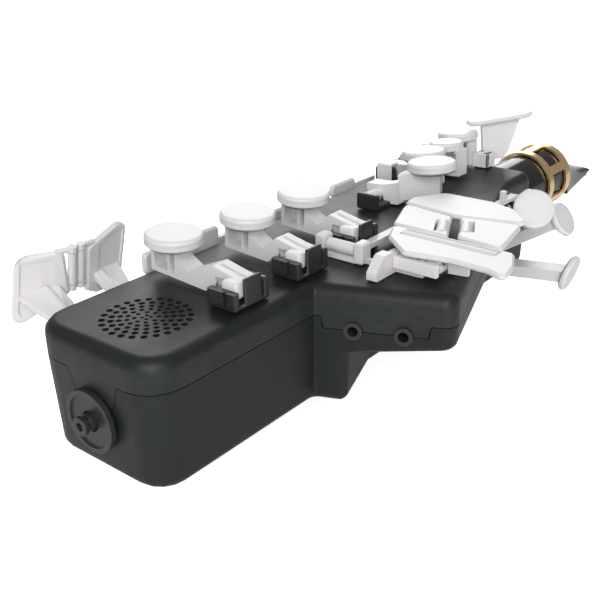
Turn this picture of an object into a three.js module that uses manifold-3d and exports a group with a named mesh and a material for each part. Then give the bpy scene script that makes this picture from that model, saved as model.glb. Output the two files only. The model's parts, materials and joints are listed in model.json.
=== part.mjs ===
// A digital wind controller: a two-part black body with a wing for the left hand, white
// spring-loaded keys, a mouthpiece with its ligature, and the electronics inside.
// Millimetres. X points to the wing, Y from the near end to the mouthpiece, Z out of the key face.
import * as THREE from "three";
import { mergeVertices } from "three/addons/utils/BufferGeometryUtils.js";
import Module from "manifold-3d";

const wasm = await Module();
wasm.setup();

const overrun = 1;
const weldDistance = 0.001;
const clearance = 0.35;
const pinClearance = 0.3;
const degree = Math.PI / 180;
const cornerSteps = 4;
const filletSteps = 3;

const body = {
  width: 52,
  length: 220,
  height: 41.6,
  seamShare: 0.75721,
  wall: 2.2,
  topFillet: 4,
  bottomFillet: 3.5,
  draft: 1.2,
  nearCorner: 11,
  farCorner: 6,
  seamGap: 0.3,
};
const wing = {
  startShare: 0.30727,
  endShare: 0.90062,
  faceAngle: 22.1,
  deepReach: 10,
  deepCorner: 4,
  reach: 41,
  corner: 5,
  root: 26,
  floorGap: 1.06,
  undersideShare: 0.157,
  bottomFillet: 2.5,
  valleyCorner: 0.8,
};

// Solids

function solidOf(geometry) {
  geometry.deleteAttribute("normal");
  geometry.deleteAttribute("uv");
  const merged = mergeVertices(geometry, weldDistance);
  const vertProperties = merged.attributes.position.array;
  const triVerts = new Uint32Array(merged.index.array);
  const build = () => new wasm.Manifold(new wasm.Mesh({ numProp: 3, vertProperties, triVerts }));
  const made = build();
  if (made.volume() > 0) return made;
  for (let i = 0; i < triVerts.length; i += 3) {
    [triVerts[i + 1], triVerts[i + 2]] = [triVerts[i + 2], triVerts[i + 1]];
  }
  return build();
}

function geometryOf(solid) {
  const mesh = solid.getMesh();
  const geometry = new THREE.BufferGeometry();
  const positions = new Float32Array(mesh.numVert * 3);
  for (let i = 0; i < mesh.numVert; i++) {
    positions.set(mesh.vertProperties.subarray(i * mesh.numProp, i * mesh.numProp + 3), i * 3);
  }
  geometry.setAttribute("position", new THREE.BufferAttribute(positions, 3));
  geometry.setIndex(new THREE.BufferAttribute(mesh.triVerts, 1));
  geometry.computeVertexNormals();
  return geometry;
}

const join = (...solids) => solids.flat().reduce((whole, solid) => whole.add(solid));

const cut = (solid, ...tools) => tools.flat().reduce((rest, tool) => rest.subtract(tool), solid);

const placed = (solid, matrix) => solid.transform([...matrix.elements]);

function box(low, high) {
  const size = high.map((value, axis) => value - low[axis]);
  const geometry = new THREE.BoxGeometry(...size);
  geometry.translate(...size.map((value, axis) => low[axis] + value / 2));
  return solidOf(geometry);
}

function rod(from, to, radius, sides = 10, endRadius = radius) {
  const start = new THREE.Vector3(...from);
  const end = new THREE.Vector3(...to);
  const along = end.clone().sub(start);
  const geometry = new THREE.CylinderGeometry(endRadius, radius, along.length(), sides);
  const turn = new THREE.Quaternion().setFromUnitVectors(
    new THREE.Vector3(0, 1, 0),
    along.clone().normalize(),
  );
  geometry.applyQuaternion(turn);
  geometry.translate(...start.add(end).multiplyScalar(0.5).toArray());
  return solidOf(geometry);
}

function ball(centre, radius, sides = 8) {
  const geometry = new THREE.SphereGeometry(radius, sides, sides / 2);
  geometry.translate(...centre);
  return solidOf(geometry);
}

// A profile of [radius, distance] points, closed on itself, turned about the line from origin along axis.
function turned(profile, origin, axis = [0, 1, 0], sides = 20) {
  const points = [...profile, profile[0]].map((point) => new THREE.Vector2(...point));
  const geometry = new THREE.LatheGeometry(points, sides);
  const direction = new THREE.Vector3(...axis).normalize();
  geometry.applyQuaternion(
    new THREE.Quaternion().setFromUnitVectors(new THREE.Vector3(0, 1, 0), direction),
  );
  geometry.translate(...origin);
  return solidOf(geometry);
}

// A bevelled disc standing on its origin.
function puck(radius, thickness, edge, origin, axis = [0, 0, 1], sides = 24) {
  const profile = [
    [0, 0],
    [radius - edge, 0],
    [radius, edge],
    [radius, thickness - edge],
    [radius - edge, thickness],
    [0, thickness],
  ];
  return turned(profile, origin, axis, sides);
}

function extruded(points, depth, xAxis, yAxis, origin) {
  const shape = new THREE.Shape(points.map((point) => new THREE.Vector2(...point)));
  const geometry = new THREE.ExtrudeGeometry(shape, { depth, bevelEnabled: false, steps: 1 });
  const x = new THREE.Vector3(...xAxis);
  const y = new THREE.Vector3(...yAxis);
  const matrix = new THREE.Matrix4().makeBasis(x, y, x.clone().cross(y));
  matrix.setPosition(...origin);
  return placed(solidOf(geometry), matrix);
}

const prismZ = (points, low, high) => extruded(points, high - low, [1, 0, 0], [0, 1, 0], [0, 0, low]);
const prismY = (points, low, high) => extruded(points, high - low, [1, 0, 0], [0, 0, 1], [0, high, 0]);
const prismX = (points, low, high) => extruded(points, high - low, [0, 1, 0], [0, 0, 1], [low, 0, 0]);

// Outlines: corners are [x, y, radius], listed counterclockwise.

function insetCorners(corners, distance) {
  return corners.map(([x, y, radius], i) => {
    const before = corners.at(i - 1);
    const after = corners[(i + 1) % corners.length];
    const first = new THREE.Vector2(x - before[0], y - before[1]).normalize();
    const second = new THREE.Vector2(after[0] - x, after[1] - y).normalize();
    const spread = distance / (1 + first.dot(second));
    const inner = first.cross(second) > 0 ? Math.max(radius - distance, radius / 8) : radius + distance;
    return [x - (first.y + second.y) * spread, y + (first.x + second.x) * spread, inner];
  });
}

function rounded(corners, steps = cornerSteps) {
  return corners.flatMap(([x, y, radius], i) => {
    if (!radius) return [[x, y]];
    const before = corners.at(i - 1);
    const after = corners[(i + 1) % corners.length];
    const back = new THREE.Vector2(before[0] - x, before[1] - y).normalize();
    const ahead = new THREE.Vector2(after[0] - x, after[1] - y).normalize();
    const half = Math.acos(THREE.MathUtils.clamp(back.dot(ahead), -1, 1)) / 2;
    const tangent = radius / Math.tan(half);
    const middle = back.clone().add(ahead).normalize().multiplyScalar(radius / Math.sin(half));
    const start = back.clone().multiplyScalar(tangent).sub(middle);
    const end = ahead.clone().multiplyScalar(tangent).sub(middle);
    const from = Math.atan2(start.y, start.x);
    const sweep = Math.atan2(start.cross(end), start.dot(end));
    return Array.from({ length: steps + 1 }, (_, k) => {
      const angle = from + (sweep * k) / steps;
      return [x + middle.x + radius * Math.cos(angle), y + middle.y + radius * Math.sin(angle)];
    });
  });
}

// Rings of equal numbers of points, joined in order and capped at both ends.
function loft(rings) {
  const count = rings[0].length;
  const index = [];
  rings.slice(1).forEach((ring, k) => {
    for (let i = 0; i < count; i++) {
      const j = (i + 1) % count;
      const low = k * count;
      const high = low + count;
      index.push(low + i, low + j, high + j, low + i, high + j, high + i);
    }
  });
  const capOf = (ring) =>
    THREE.ShapeUtils.triangulateShape(ring.map(([x, y]) => new THREE.Vector2(x, y)), []);
  capOf(rings[0]).forEach(([a, b, c]) => index.push(a, c, b));
  const last = (rings.length - 1) * count;
  capOf(rings.at(-1)).forEach(([a, b, c]) => index.push(last + a, last + b, last + c));
  const geometry = new THREE.BufferGeometry();
  geometry.setAttribute("position", new THREE.Float32BufferAttribute(rings.flat(2), 3));
  geometry.setIndex(index);
  return solidOf(geometry);
}

// Layers of one outline: each has an inset and a height, or a height that depends on the place.
function layered(corners, layers, steps = cornerSteps) {
  return loft(
    layers.map(({ inset, height }) =>
      rounded(insetCorners(corners, inset), steps).map(([x, y]) => [
        x,
        y,
        typeof height === "function" ? height(x, y) : height,
      ]),
    ),
  );
}

function filletSteppedFrom(radius, steps = filletSteps) {
  return Array.from({ length: steps + 1 }, (_, k) => {
    const angle = (k / steps) * (Math.PI / 2);
    return { inset: radius * (1 - Math.sin(angle)), rise: radius * (1 - Math.cos(angle)) };
  });
}

// A flat plate with rounded edges.
function plate(corners, low, high, edge, steps = 3) {
  const curve = filletSteppedFrom(edge, 1);
  return layered(
    corners,
    [
      ...curve.map(({ inset, rise }) => ({ inset, height: low + rise })),
      ...curve.toReversed().map(({ inset, rise }) => ({ inset, height: high - rise })),
    ],
    steps,
  );
}

// Body outlines

const half = body.width / 2;
const seam = body.height * body.seamShare;
const wingStart = body.length * wing.startShare;
const wingEnd = body.length * wing.endShare;
const faceSlope = Math.tan(wing.faceAngle * degree);
const faceY = (x) => wingStart + (x - half) * faceSlope;
const wingTip = half + wing.reach;
const sideSlope = wing.reach / (wingEnd - faceY(wingTip));
const sideX = (y) => wingTip - sideSlope * (y - faceY(wingTip));
const sideY = (x) => faceY(wingTip) + (wingTip - x) / sideSlope;
const deepX = half + wing.deepReach;
const faceNormal = [Math.sin(wing.faceAngle * degree), -Math.cos(wing.faceAngle * degree), 0];
const faceAlong = [-faceNormal[1], faceNormal[0], 0];

const deepOutline = [
  [-half, 0, body.nearCorner],
  [half, 0, body.nearCorner],
  [half, faceY(half), wing.valleyCorner],
  [deepX, faceY(deepX), wing.deepCorner],
  [half, faceY(deepX) + wing.deepReach / sideSlope, wing.deepCorner],
  [half, body.length, body.farCorner],
  [-half, body.length, body.farCorner],
];
const wingOutline = [
  [half - wing.root, faceY(half - wing.root), wing.valleyCorner],
  [wingTip, faceY(wingTip), wing.corner],
  [half - wing.deepCorner, sideY(half - wing.deepCorner), wing.valleyCorner],
  [half - wing.root, sideY(half - wing.deepCorner), wing.valleyCorner],
];

const draftAt = (height) => body.draft * Math.max(1 - height / seam, 0);

function topLayers(wall, steps) {
  const radius = Math.max(body.topFillet - wall, wing.valleyCorner);
  const top = body.height - wall;
  return filletSteppedFrom(radius, steps)
    .toReversed()
    .map(({ inset, rise }) => ({ inset: inset + wall, height: top - rise }));
}

function deepBody(wall, steps) {
  const radius = Math.max(body.bottomFillet - wall, wing.valleyCorner);
  const bottom = filletSteppedFrom(radius, steps).map(({ inset, rise }) => ({
    inset: inset + wall + draftAt(rise),
    height: wall + rise,
  }));
  const parting = { inset: wall, height: seam };
  return layered(deepOutline, [...bottom, parting, ...topLayers(wall, steps)], steps + 1);
}

function wingBody(wall, steps) {
  const radius = Math.max(wing.bottomFillet - wall, wing.valleyCorner);
  const underside = (x) => wingUnder + wing.undersideShare * (x - half) + wall;
  const bottom = filletSteppedFrom(radius, steps).map(({ inset, rise }) => ({
    inset: inset + wall + draftAt(wingUnder + rise),
    height: (x) => underside(x) + rise,
  }));
  const parting = { inset: wall, height: seam };
  return layered(wingOutline, [...bottom, parting, ...topLayers(wall, steps)], steps + 1);
}

// Shells

const tongue = {
  nearLeft: 9.5,
  nearRight: 11.6,
  nearFootLeft: 6,
  nearFootRight: 8.6,
  nearDrop: 8,
  wingFrom: 1.6,
  wingTo: 33.8,
  wingDrop: 4.1,
  wingSlant: 1,
};
const screw = {
  inset: 8.5,
  speakerGap: 0.8,
  farInset: 12,
  shankRadius: 1.5,
  headRadius: 3,
  headHeight: 2.3,
  headSink: 0.4,
  postRadius: 3.6,
  engagement: 6,
  driveRadius: 1.2,
  driveDepth: 1.3,
};
const board = {
  thickness: 1.6,
  drop: 5.2,
  sideGap: 1.8,
  nearY: 27,
  farGap: 8,
  corner: 3,
  chip: 14,
  chipHeight: 1.4,
  chipShare: 0.4364,
  smallChip: 7,
  smallChipShare: 0.8182,
};
const speaker = {
  x: 1.5,
  y: 21.2,
  grilleRadius: 12.7,
  grilleRings: 4,
  grilleCount: 24,
  grilleHole: 1,
  ringShare: 0.79,
  flangeRadius: 14.4,
  flangeThickness: 1.4,
  coneRadius: 12.4,
  coneDepth: 4,
  coneSkin: 0.6,
  capRadius: 3.6,
  magnetRadius: 6.5,
  depth: 12.4,
  basketRadius: 8.6,
  basketWall: 1.1,
};
const outlet = {
  x: 0.2,
  tongueGap: 1.2,
  flangeRadius: 9.8,
  flangeThickness: 1.3,
  rimWidth: 1.6,
  rimHeight: 0.6,
  sleeveRadius: 4.6,
  sleeveLength: 7,
  studRadius: 2.9,
  studReach: 5.4,
  studBore: 1.3,
  neckRadius: 2.1,
  neckWidth: 0.9,
  ringWidth: 1.4,
};
const neck = {
  drop: 11,
  bore: 3.1,
  sleeveRadius: 9.3,
  innerFlange: 11,
  innerFlangeThickness: 2,
  collarRadius: 13.4,
  collarThickness: 2.4,
  corkRadius: 7,
  corkLength: 24,
  corkEdge: 0.6,
  inside: 6,
};
const jack = {
  firstOut: 11.4,
  secondOut: 26.05,
  drop: 4.05,
  collarRadius: 3.05,
  collarHeight: 0.9,
  barrelRadius: 2.3,
  bore: 1.7,
  housingRadius: 3,
  depth: 12,
  boreDepth: 10,
};
const leftPort = {
  drop: 13.5,
  usbInset: 23,
  usbWidth: 9,
  usbHeight: 3.4,
  usbDepth: 7.5,
  usbWall: 0.5,
  buttonRadius: 2.4,
  powerInset: 38.5,
  modeInset: 31.5,
  buttonOut: 1.1,
  buttonFlange: 3.2,
  buttonFlangeThickness: 0.8,
  buttonDepth: 4,
};

const wallX = (height) => -(half - draftAt(height));
const screwX = half - screw.inset;
const screwNearY = speaker.y + speaker.flangeRadius + screw.postRadius + screw.speakerGap;
const screwFarY = body.length - screw.farInset;
const boardUnder = seam - board.drop;
const outletZ = seam - tongue.nearDrop - outlet.tongueGap - outlet.sleeveRadius;
const neckZ = seam - neck.drop;
const jackZ = seam - jack.drop;
const jackFloor = jackZ - jack.housingRadius - wing.floorGap - body.wall;
const wingUnder = jackFloor - wing.undersideShare * jack.secondOut;
const portZ = seam - leftPort.drop;
const usbY = body.length - leftPort.usbInset;
const buttonYs = [body.length - leftPort.powerInset, body.length - leftPort.modeInset];

function tongues(grow) {
  const near = prismY(
    [
      [-tongue.nearLeft - grow, seam + body.seamGap + grow],
      [-tongue.nearFootLeft - grow, seam - tongue.nearDrop - grow],
      [tongue.nearFootRight + grow, seam - tongue.nearDrop - grow],
      [tongue.nearRight + grow, seam + body.seamGap + grow],
    ],
    -overrun,
    body.wall + overrun,
  );
  const along = (distance) => distance / Math.cos(wing.faceAngle * degree);
  const wingTongue = extruded(
    [
      [along(tongue.wingFrom) - grow, seam + body.seamGap + grow],
      [along(tongue.wingFrom + tongue.wingSlant) - grow, seam - tongue.wingDrop - grow],
      [along(tongue.wingTo - tongue.wingSlant) + grow, seam - tongue.wingDrop - grow],
      [along(tongue.wingTo) + grow, seam + body.seamGap + grow],
    ],
    body.wall + 2 * overrun,
    faceAlong,
    [0, 0, 1],
    [
      half - faceNormal[0] * (body.wall + overrun),
      faceY(half) - faceNormal[1] * (body.wall + overrun),
      0,
    ],
  );
  return join(near, wingTongue);
}

const wideBox = (low, high) => box([-body.length, -body.length, low], [body.length, 2 * body.length, high]);

const screwPlaces = [
  [-screwX, screwNearY],
  [screwX, screwNearY],
  [-screwX, screwFarY],
  [screwX, screwFarY],
];
const screwHeadTop = screw.headSink + screw.headHeight + clearance;
const boardTop = boardUnder + board.thickness;

function hollowBody() {
  return cut(
    join(deepBody(0, filletSteps), wingBody(0, filletSteps)),
    join(deepBody(body.wall, 1), wingBody(body.wall, 1)),
  );
}

const jackPlaces = [half + jack.firstOut, half + jack.secondOut].map((x) => [x, faceY(x), jackZ]);
const beyond = (place, direction, distance) =>
  place.map((value, axis) => value + direction[axis] * distance);

function jackHoles() {
  const radius = jack.barrelRadius + pinClearance;
  return jackPlaces.map((place) =>
    rod(
      beyond(place, faceNormal, jack.collarHeight + overrun),
      beyond(place, faceNormal, -body.wall - overrun),
      radius,
    ),
  );
}

function grilleHoles() {
  const top = body.height + overrun;
  const low = body.height - body.wall - overrun;
  const holes = [];
  for (let ring = 0; ring < speaker.grilleRings; ring++) {
    const scale = speaker.ringShare ** ring;
    for (let k = 0; k < speaker.grilleCount; k++) {
      const angle = ((k + ring / 2) / speaker.grilleCount) * 2 * Math.PI;
      const x = speaker.x + speaker.grilleRadius * scale * Math.cos(angle);
      const y = speaker.y + speaker.grilleRadius * scale * Math.sin(angle);
      holes.push(rod([x, y, low], [x, y, top], speaker.grilleHole * scale, 6));
    }
  }
  return wasm.Manifold.union(holes);
}

// Lugs on the side walls: keys turn on trunnions in their open holes.
function lug(wallAt, reach, pivot, low, high, thickness, hole) {
  const [x, z] = pivot;
  const outer = x + Math.sign(reach) * Math.abs(reach);
  const outline = [
    [Math.min(wallAt, outer), low, 0],
    [Math.max(wallAt, outer), low, 0],
    [Math.max(wallAt, outer), high, 0],
    [Math.min(wallAt, outer), high, 0],
  ];
  return (from) =>
    cut(
      prismY(rounded(outline), from, from + thickness),
      rod([x, from - overrun, z], [x, from + thickness + overrun, z], hole, 10),
    );
}

const lugs = { thickness: 1.8, reach: 2.4, sink: 1.2, pin: 1, tube: 1.9, pinLength: 1.5 };
const lugHole = lugs.pin + pinClearance;

// Heights of these keys are above the seam, and their shares along Y are of the body's length.
const sideKey = {
  pivotOut: 3,
  pivotRise: 3.7,
  lugLow: 0.7,
  lugHigh: 6.1,
  padLow: 6.7,
  padHeight: 7.8,
};
const sidePivot = [-(half + sideKey.pivotOut), seam + sideKey.pivotRise];
const sideKeyShares = {
  side_key_1: { padShares: [0.2136, 0.3727], tubeShares: [0.3818, 0.4636], heightShares: [1, 0.423] },
  side_key_2: { padShares: [0.4909, 0.5955], tubeShares: [0.6045, 0.65], heightShares: [0.615, 0.359] },
  side_key_3: { padShares: [0.6727, 0.7455], tubeShares: [0.7591, 0.8091], heightShares: [0.679, 0.359] },
};
const sideKeys = Object.entries(sideKeyShares).map(([name, shares]) => ({
  name,
  padFrom: shares.padShares[0] * body.length,
  padTo: shares.padShares[1] * body.length,
  tubeFrom: shares.tubeShares[0] * body.length,
  barTo: shares.tubeShares[1] * body.length,
  padLow: seam + sideKey.padLow,
  padHigh: seam + sideKey.padLow + shares.heightShares[0] * sideKey.padHeight,
  barHigh: seam + sideKey.padLow + shares.heightShares[1] * sideKey.padHeight,
}));

// Depths of the paddles' pivots and lugs are below the seam.
const paddle = {
  pivotOut: 3.4,
  pivotDepth: 3.5,
  lugLow: 6.7,
  lugHigh: 0.7,
  lowCFrom: 38,
  lowCTo: 46,
  lowEFrom: 17,
  lowETo: 25,
};
const paddlePivot = [-(half + paddle.pivotOut), seam - paddle.pivotDepth];

const palm = {
  pivotOut: 5,
  pivotRise: 5.3,
  farInset: 13.63,
  tubeLength: 7,
  lugLow: 2.9,
  lugHigh: 7.7,
};
const palmFrom = wingEnd - palm.farInset;
const palmTo = palmFrom + palm.tubeLength;
const palmPivot = [sideX(palmTo) + palm.pivotOut, seam + palm.pivotRise];

function lugPair(wallAt, side, pivot, low, high, from, to) {
  const make = lug(wallAt, side * lugs.reach, pivot, low, high, lugs.thickness, lugHole);
  return join(make(from - clearance - lugs.thickness), make(to + clearance));
}

function upperShell() {
  const keep = join(wideBox(seam + body.seamGap / 2, body.height + overrun), tongues(0));
  const bossTop = body.height - body.wall + overrun / 2;
  const bosses = screwPlaces.map(([x, y]) =>
    rod([x, y, boardTop + clearance], [x, y, bossTop], screw.postRadius),
  );
  const bossHoles = screwPlaces.map(([x, y]) =>
    rod(
      [x, y, boardTop - overrun],
      [x, y, boardTop + screw.engagement + clearance + overrun],
      screw.shankRadius + pinClearance,
    ),
  );
  const sideLugs = sideKeys.map((key) =>
    lugPair(
      -half + lugs.sink,
      -1,
      sidePivot,
      seam + sideKey.lugLow,
      seam + sideKey.lugHigh,
      key.tubeFrom,
      key.barTo,
    ),
  );
  const palmLugs = lugPair(
    sideX(palmTo) - lugs.sink - body.wall,
    1,
    palmPivot,
    seam + palm.lugLow,
    seam + palm.lugHigh,
    palmFrom,
    palmTo,
  );
  const shell = hollowBody().intersect(keep);
  return cut(join(shell, bosses, sideLugs, palmLugs, frontCheeks()), bossHoles, grilleHoles(), jackHoles());
}

const plunger = {
  width: 9,
  thickness: 4.4,
  gap: 0.4,
  inside: 3.5,
  travel: 2.5,
};
const highPalm = { out: 25.51, farInset: 23.63, rise: 8.4, radius: 6.5 };
const lowPalm = { out: 37.6, farInset: 20.03, drop: 0.1, radius: 7 };
const unit = (...shares) => new THREE.Vector3(...shares).normalize();
const plungers = [
  {
    name: "palm_key_2",
    wallX: sideX(wingEnd - highPalm.farInset),
    out: highPalm.out,
    y: wingEnd - highPalm.farInset,
    z: seam + highPalm.rise,
    inward: unit(-0.84, 0, -0.54),
    face: unit(0.84, 0, 0.54),
    radius: highPalm.radius,
  },
  {
    name: "palm_key_3",
    wallX: half,
    out: lowPalm.out,
    y: wingEnd - lowPalm.farInset,
    z: wingUnder - lowPalm.drop,
    inward: unit(-0.99, 0, -0.12),
    face: unit(0.97, 0.05, -0.26),
    radius: lowPalm.radius,
  },
];

function plungerFrame({ wallX: side, out, y, z, inward }) {
  const across = new THREE.Vector3(0, 1, 0);
  const matrix = new THREE.Matrix4().makeBasis(across.clone().cross(inward), across, inward);
  return matrix.setPosition(side + out, y, z);
}

const wallReach = (key) => key.out / -key.inward.x;

function plungerSlot(key) {
  const halfThick = plunger.thickness / 2 + plunger.gap;
  const halfWide = plunger.width / 2 + plunger.gap;
  const reach = wallReach(key);
  const slot = box(
    [-halfThick, -halfWide, reach - 2 * plunger.inside],
    [halfThick, halfWide, reach + body.wall + plunger.inside + 2 * plunger.travel + overrun],
  );
  return placed(slot, plungerFrame(key));
}

const battery = { length: 70, width: 34, height: 8, nearY: 60, corner: 3, rib: 1.4, ribHeight: 5 };

function batteryRibs() {
  const side = battery.width / 2 + clearance;
  const farY = battery.nearY + battery.length;
  const low = body.wall - clearance;
  const high = body.wall + battery.ribHeight;
  const across = (y) => box([-side, y, low], [side, y + battery.rib, high]);
  return [across(battery.nearY - clearance - battery.rib), across(farY + clearance)];
}

function lowerShell() {
  const keep = cut(wideBox(-overrun, seam - body.seamGap / 2), tongues(body.seamGap));
  const posts = screwPlaces.map(([x, y]) =>
    rod([x, y, body.wall - clearance], [x, y, boardUnder - clearance], screw.postRadius),
  );
  const shankHoles = screwPlaces.map(([x, y]) =>
    rod([x, y, -overrun], [x, y, boardUnder + overrun], screw.shankRadius + pinClearance),
  );
  const headHoles = screwPlaces.map(([x, y]) =>
    rod([x, y, -overrun], [x, y, screwHeadTop], screw.headRadius + pinClearance),
  );
  const outletHole = rod(
    [outlet.x, -overrun, outletZ],
    [outlet.x, body.wall + body.draft + overrun, outletZ],
    outlet.sleeveRadius + clearance,
    20,
  );
  const neckHole = rod(
    [0, body.length - body.wall - body.draft - overrun, neckZ],
    [0, body.length + overrun, neckZ],
    neck.sleeveRadius + clearance,
    28,
  );
  const usbHole = box(
    [
      -half - overrun,
      usbY - leftPort.usbWidth / 2 - clearance,
      portZ - leftPort.usbHeight / 2 - clearance,
    ],
    [
      -half + body.draft + body.wall + overrun,
      usbY + leftPort.usbWidth / 2 + clearance,
      portZ + leftPort.usbHeight / 2 + clearance,
    ],
  );
  const buttonHoles = buttonYs.map((y) =>
    rod(
      [-half - overrun, y, portZ],
      [-half + body.draft + body.wall + overrun, y, portZ],
      leftPort.buttonRadius + clearance,
    ),
  );
  const paddleLugs = [
    [paddle.lowCFrom, paddle.lowCTo],
    [paddle.lowEFrom, paddle.lowETo],
  ].map(([from, to]) =>
    lugPair(
      -half + lugs.sink + draftAt(seam - paddle.lugLow),
      -1,
      paddlePivot,
      seam - paddle.lugLow,
      seam - paddle.lugHigh,
      from,
      to,
    ),
  );
  const shell = hollowBody().intersect(keep);
  return cut(
    join(shell, posts, batteryRibs(), paddleLugs, octaveCheeks()),
    shankHoles,
    headHoles,
    outletHole,
    neckHole,
    usbHole,
    buttonHoles,
    plungers.map(plungerSlot),
    jackHoles(),
  );
}

// Parts of the ends and the inside

function backScrew([x, y]) {
  const low = screw.headSink;
  const shoulder = low + screw.headHeight;
  const tip = boardTop + screw.engagement;
  const solid = join(
    puck(screw.headRadius, screw.headHeight, screw.headSink, [x, y, low], [0, 0, 1], 14),
    rod([x, y, shoulder - clearance], [x, y, tip], screw.shankRadius, 8),
  );
  const drive = rod([x, y, low - overrun], [x, y, low + screw.driveDepth], screw.driveRadius, 6);
  return cut(solid, drive);
}

function outletFlange() {
  const bore = outlet.studRadius + pinClearance;
  const front = -clearance - outlet.flangeThickness;
  const profile = [
    [bore, outlet.sleeveLength],
    [outlet.sleeveRadius, outlet.sleeveLength],
    [outlet.sleeveRadius, -clearance],
    [outlet.flangeRadius, -clearance],
    [outlet.flangeRadius, front - outlet.rimHeight],
    [outlet.flangeRadius - outlet.rimWidth, front - outlet.rimHeight],
    [outlet.flangeRadius - outlet.rimWidth, front],
    [bore, front],
  ];
  return turned(profile, [outlet.x, 0, outletZ]);
}

function outletValve() {
  const tip = -outlet.studReach;
  const neckFrom = tip + outlet.ringWidth;
  const neckTo = neckFrom + outlet.neckWidth;
  const profile = [
    [outlet.studBore, outlet.sleeveLength + overrun],
    [outlet.studRadius, outlet.sleeveLength + overrun],
    [outlet.studRadius, neckTo],
    [outlet.neckRadius, neckTo],
    [outlet.neckRadius, neckFrom],
    [outlet.studRadius, neckFrom],
    [outlet.studRadius, tip],
    [outlet.studBore, tip],
  ];
  return turned(profile, [outlet.x, 0, outletZ], [0, 1, 0], 14);
}

const tube = { radius: 2.3, bore: 1.4 };

function breathTube() {
  const start = new THREE.Vector3(outlet.x, outlet.sleeveLength + overrun + clearance, outletZ);
  const end = new THREE.Vector3(0, body.length - neck.inside - clearance - neck.innerFlangeThickness, neckZ);
  const length = end.clone().sub(start).length();
  const profile = [
    [tube.bore, 0],
    [tube.radius, 0],
    [tube.radius, length],
    [tube.bore, length],
  ];
  return turned(profile, start.toArray(), end.sub(start).toArray(), 16);
}

function neckReceiver() {
  const wallInside = body.length - body.wall - body.draft - clearance;
  const collarFrom = body.length + clearance;
  const collarTo = collarFrom + neck.collarThickness;
  const tip = collarTo + neck.corkLength;
  const profile = [
    [neck.bore, body.length - neck.inside - neck.innerFlangeThickness],
    [neck.innerFlange, body.length - neck.inside - neck.innerFlangeThickness],
    [neck.innerFlange, wallInside],
    [neck.sleeveRadius, wallInside],
    [neck.sleeveRadius, collarFrom],
    [neck.collarRadius, collarFrom],
    [neck.collarRadius, collarTo],
    [neck.corkRadius, collarTo],
    [neck.corkRadius, tip - neck.corkEdge],
    [neck.corkRadius - neck.corkEdge, tip],
    [neck.bore, tip],
  ];
  return turned(profile, [0, 0, neckZ], [0, 1, 0], 28);
}

function jackSocket(place) {
  const profile = [
    [jack.bore, jack.collarHeight],
    [jack.collarRadius, jack.collarHeight],
    [jack.collarRadius, clearance],
    [jack.barrelRadius, clearance],
    [jack.barrelRadius, -body.wall - body.draft / 2 - clearance],
    [jack.housingRadius, -body.wall - body.draft / 2 - clearance],
    [jack.housingRadius, -jack.depth],
    [0, -jack.depth],
    [0, -jack.boreDepth],
    [jack.bore, -jack.boreDepth],
  ];
  return turned(profile, place, faceNormal, 14);
}

function usbPort() {
  const outer = [leftPort.usbWidth / 2, leftPort.usbHeight / 2];
  const from = wallX(portZ) + clearance;
  const to = from + leftPort.usbDepth;
  const shellBox = (shrink, start, end) =>
    box(
      [start, usbY - outer[0] + shrink, portZ - outer[1] + shrink],
      [end, usbY + outer[0] - shrink, portZ + outer[1] - shrink],
    );
  const tongueBox = box(
    [from + leftPort.usbWall, usbY - outer[0] / 2, portZ - leftPort.usbWall / 2],
    [to, usbY + outer[0] / 2, portZ + leftPort.usbWall / 2],
  );
  return join(
    cut(shellBox(0, from, to), shellBox(leftPort.usbWall, from - overrun, to - leftPort.usbWall)),
    tongueBox,
  );
}

function sideButton(y) {
  const wallOuter = wallX(portZ);
  const inner = wallOuter + body.wall + clearance;
  const profile = [
    [0, 0],
    [leftPort.buttonRadius, 0],
    [leftPort.buttonRadius, leftPort.buttonOut + inner - wallOuter],
    [leftPort.buttonFlange, leftPort.buttonOut + inner - wallOuter],
    [leftPort.buttonFlange, leftPort.buttonOut + inner - wallOuter + leftPort.buttonFlangeThickness],
    [0, leftPort.buttonOut + inner - wallOuter + leftPort.buttonFlangeThickness],
  ];
  return turned(profile, [wallOuter - leftPort.buttonOut, y, portZ], [1, 0, 0], 20);
}

function mainBoard() {
  const side = half - body.wall - board.sideGap;
  const farY = body.length - board.farGap;
  const outline = [
    [-side, board.nearY, board.corner],
    [side, board.nearY, board.corner],
    [side, farY, board.corner],
    [-side, farY, board.corner],
  ];
  const holes = screwPlaces.map(([x, y]) =>
    rod([x, y, boardUnder - overrun], [x, y, boardTop + overrun], screw.shankRadius + pinClearance),
  );
  const speakerHole = rod(
    [speaker.x, speaker.y, boardUnder - overrun],
    [speaker.x, speaker.y, boardTop + overrun],
    speaker.basketRadius + speaker.basketWall,
  );
  const chip = (size, y) =>
    box([-size / 2, y, boardTop - clearance], [size / 2, y + size, boardTop + board.chipHeight]);
  return cut(
    join(
      prismZ(rounded(outline), boardUnder, boardTop),
      chip(board.chip, body.length * board.chipShare),
      chip(board.smallChip, body.length * board.smallChipShare),
    ),
    holes,
    speakerHole,
  );
}

function batteryPack() {
  const low = body.wall + clearance;
  const corners = [
    [-battery.width / 2, battery.nearY, battery.corner],
    [battery.width / 2, battery.nearY, battery.corner],
    [battery.width / 2, battery.nearY + battery.length, battery.corner],
    [-battery.width / 2, battery.nearY + battery.length, battery.corner],
  ];
  return plate(corners, low, low + battery.height, battery.rib, 3);
}

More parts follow.
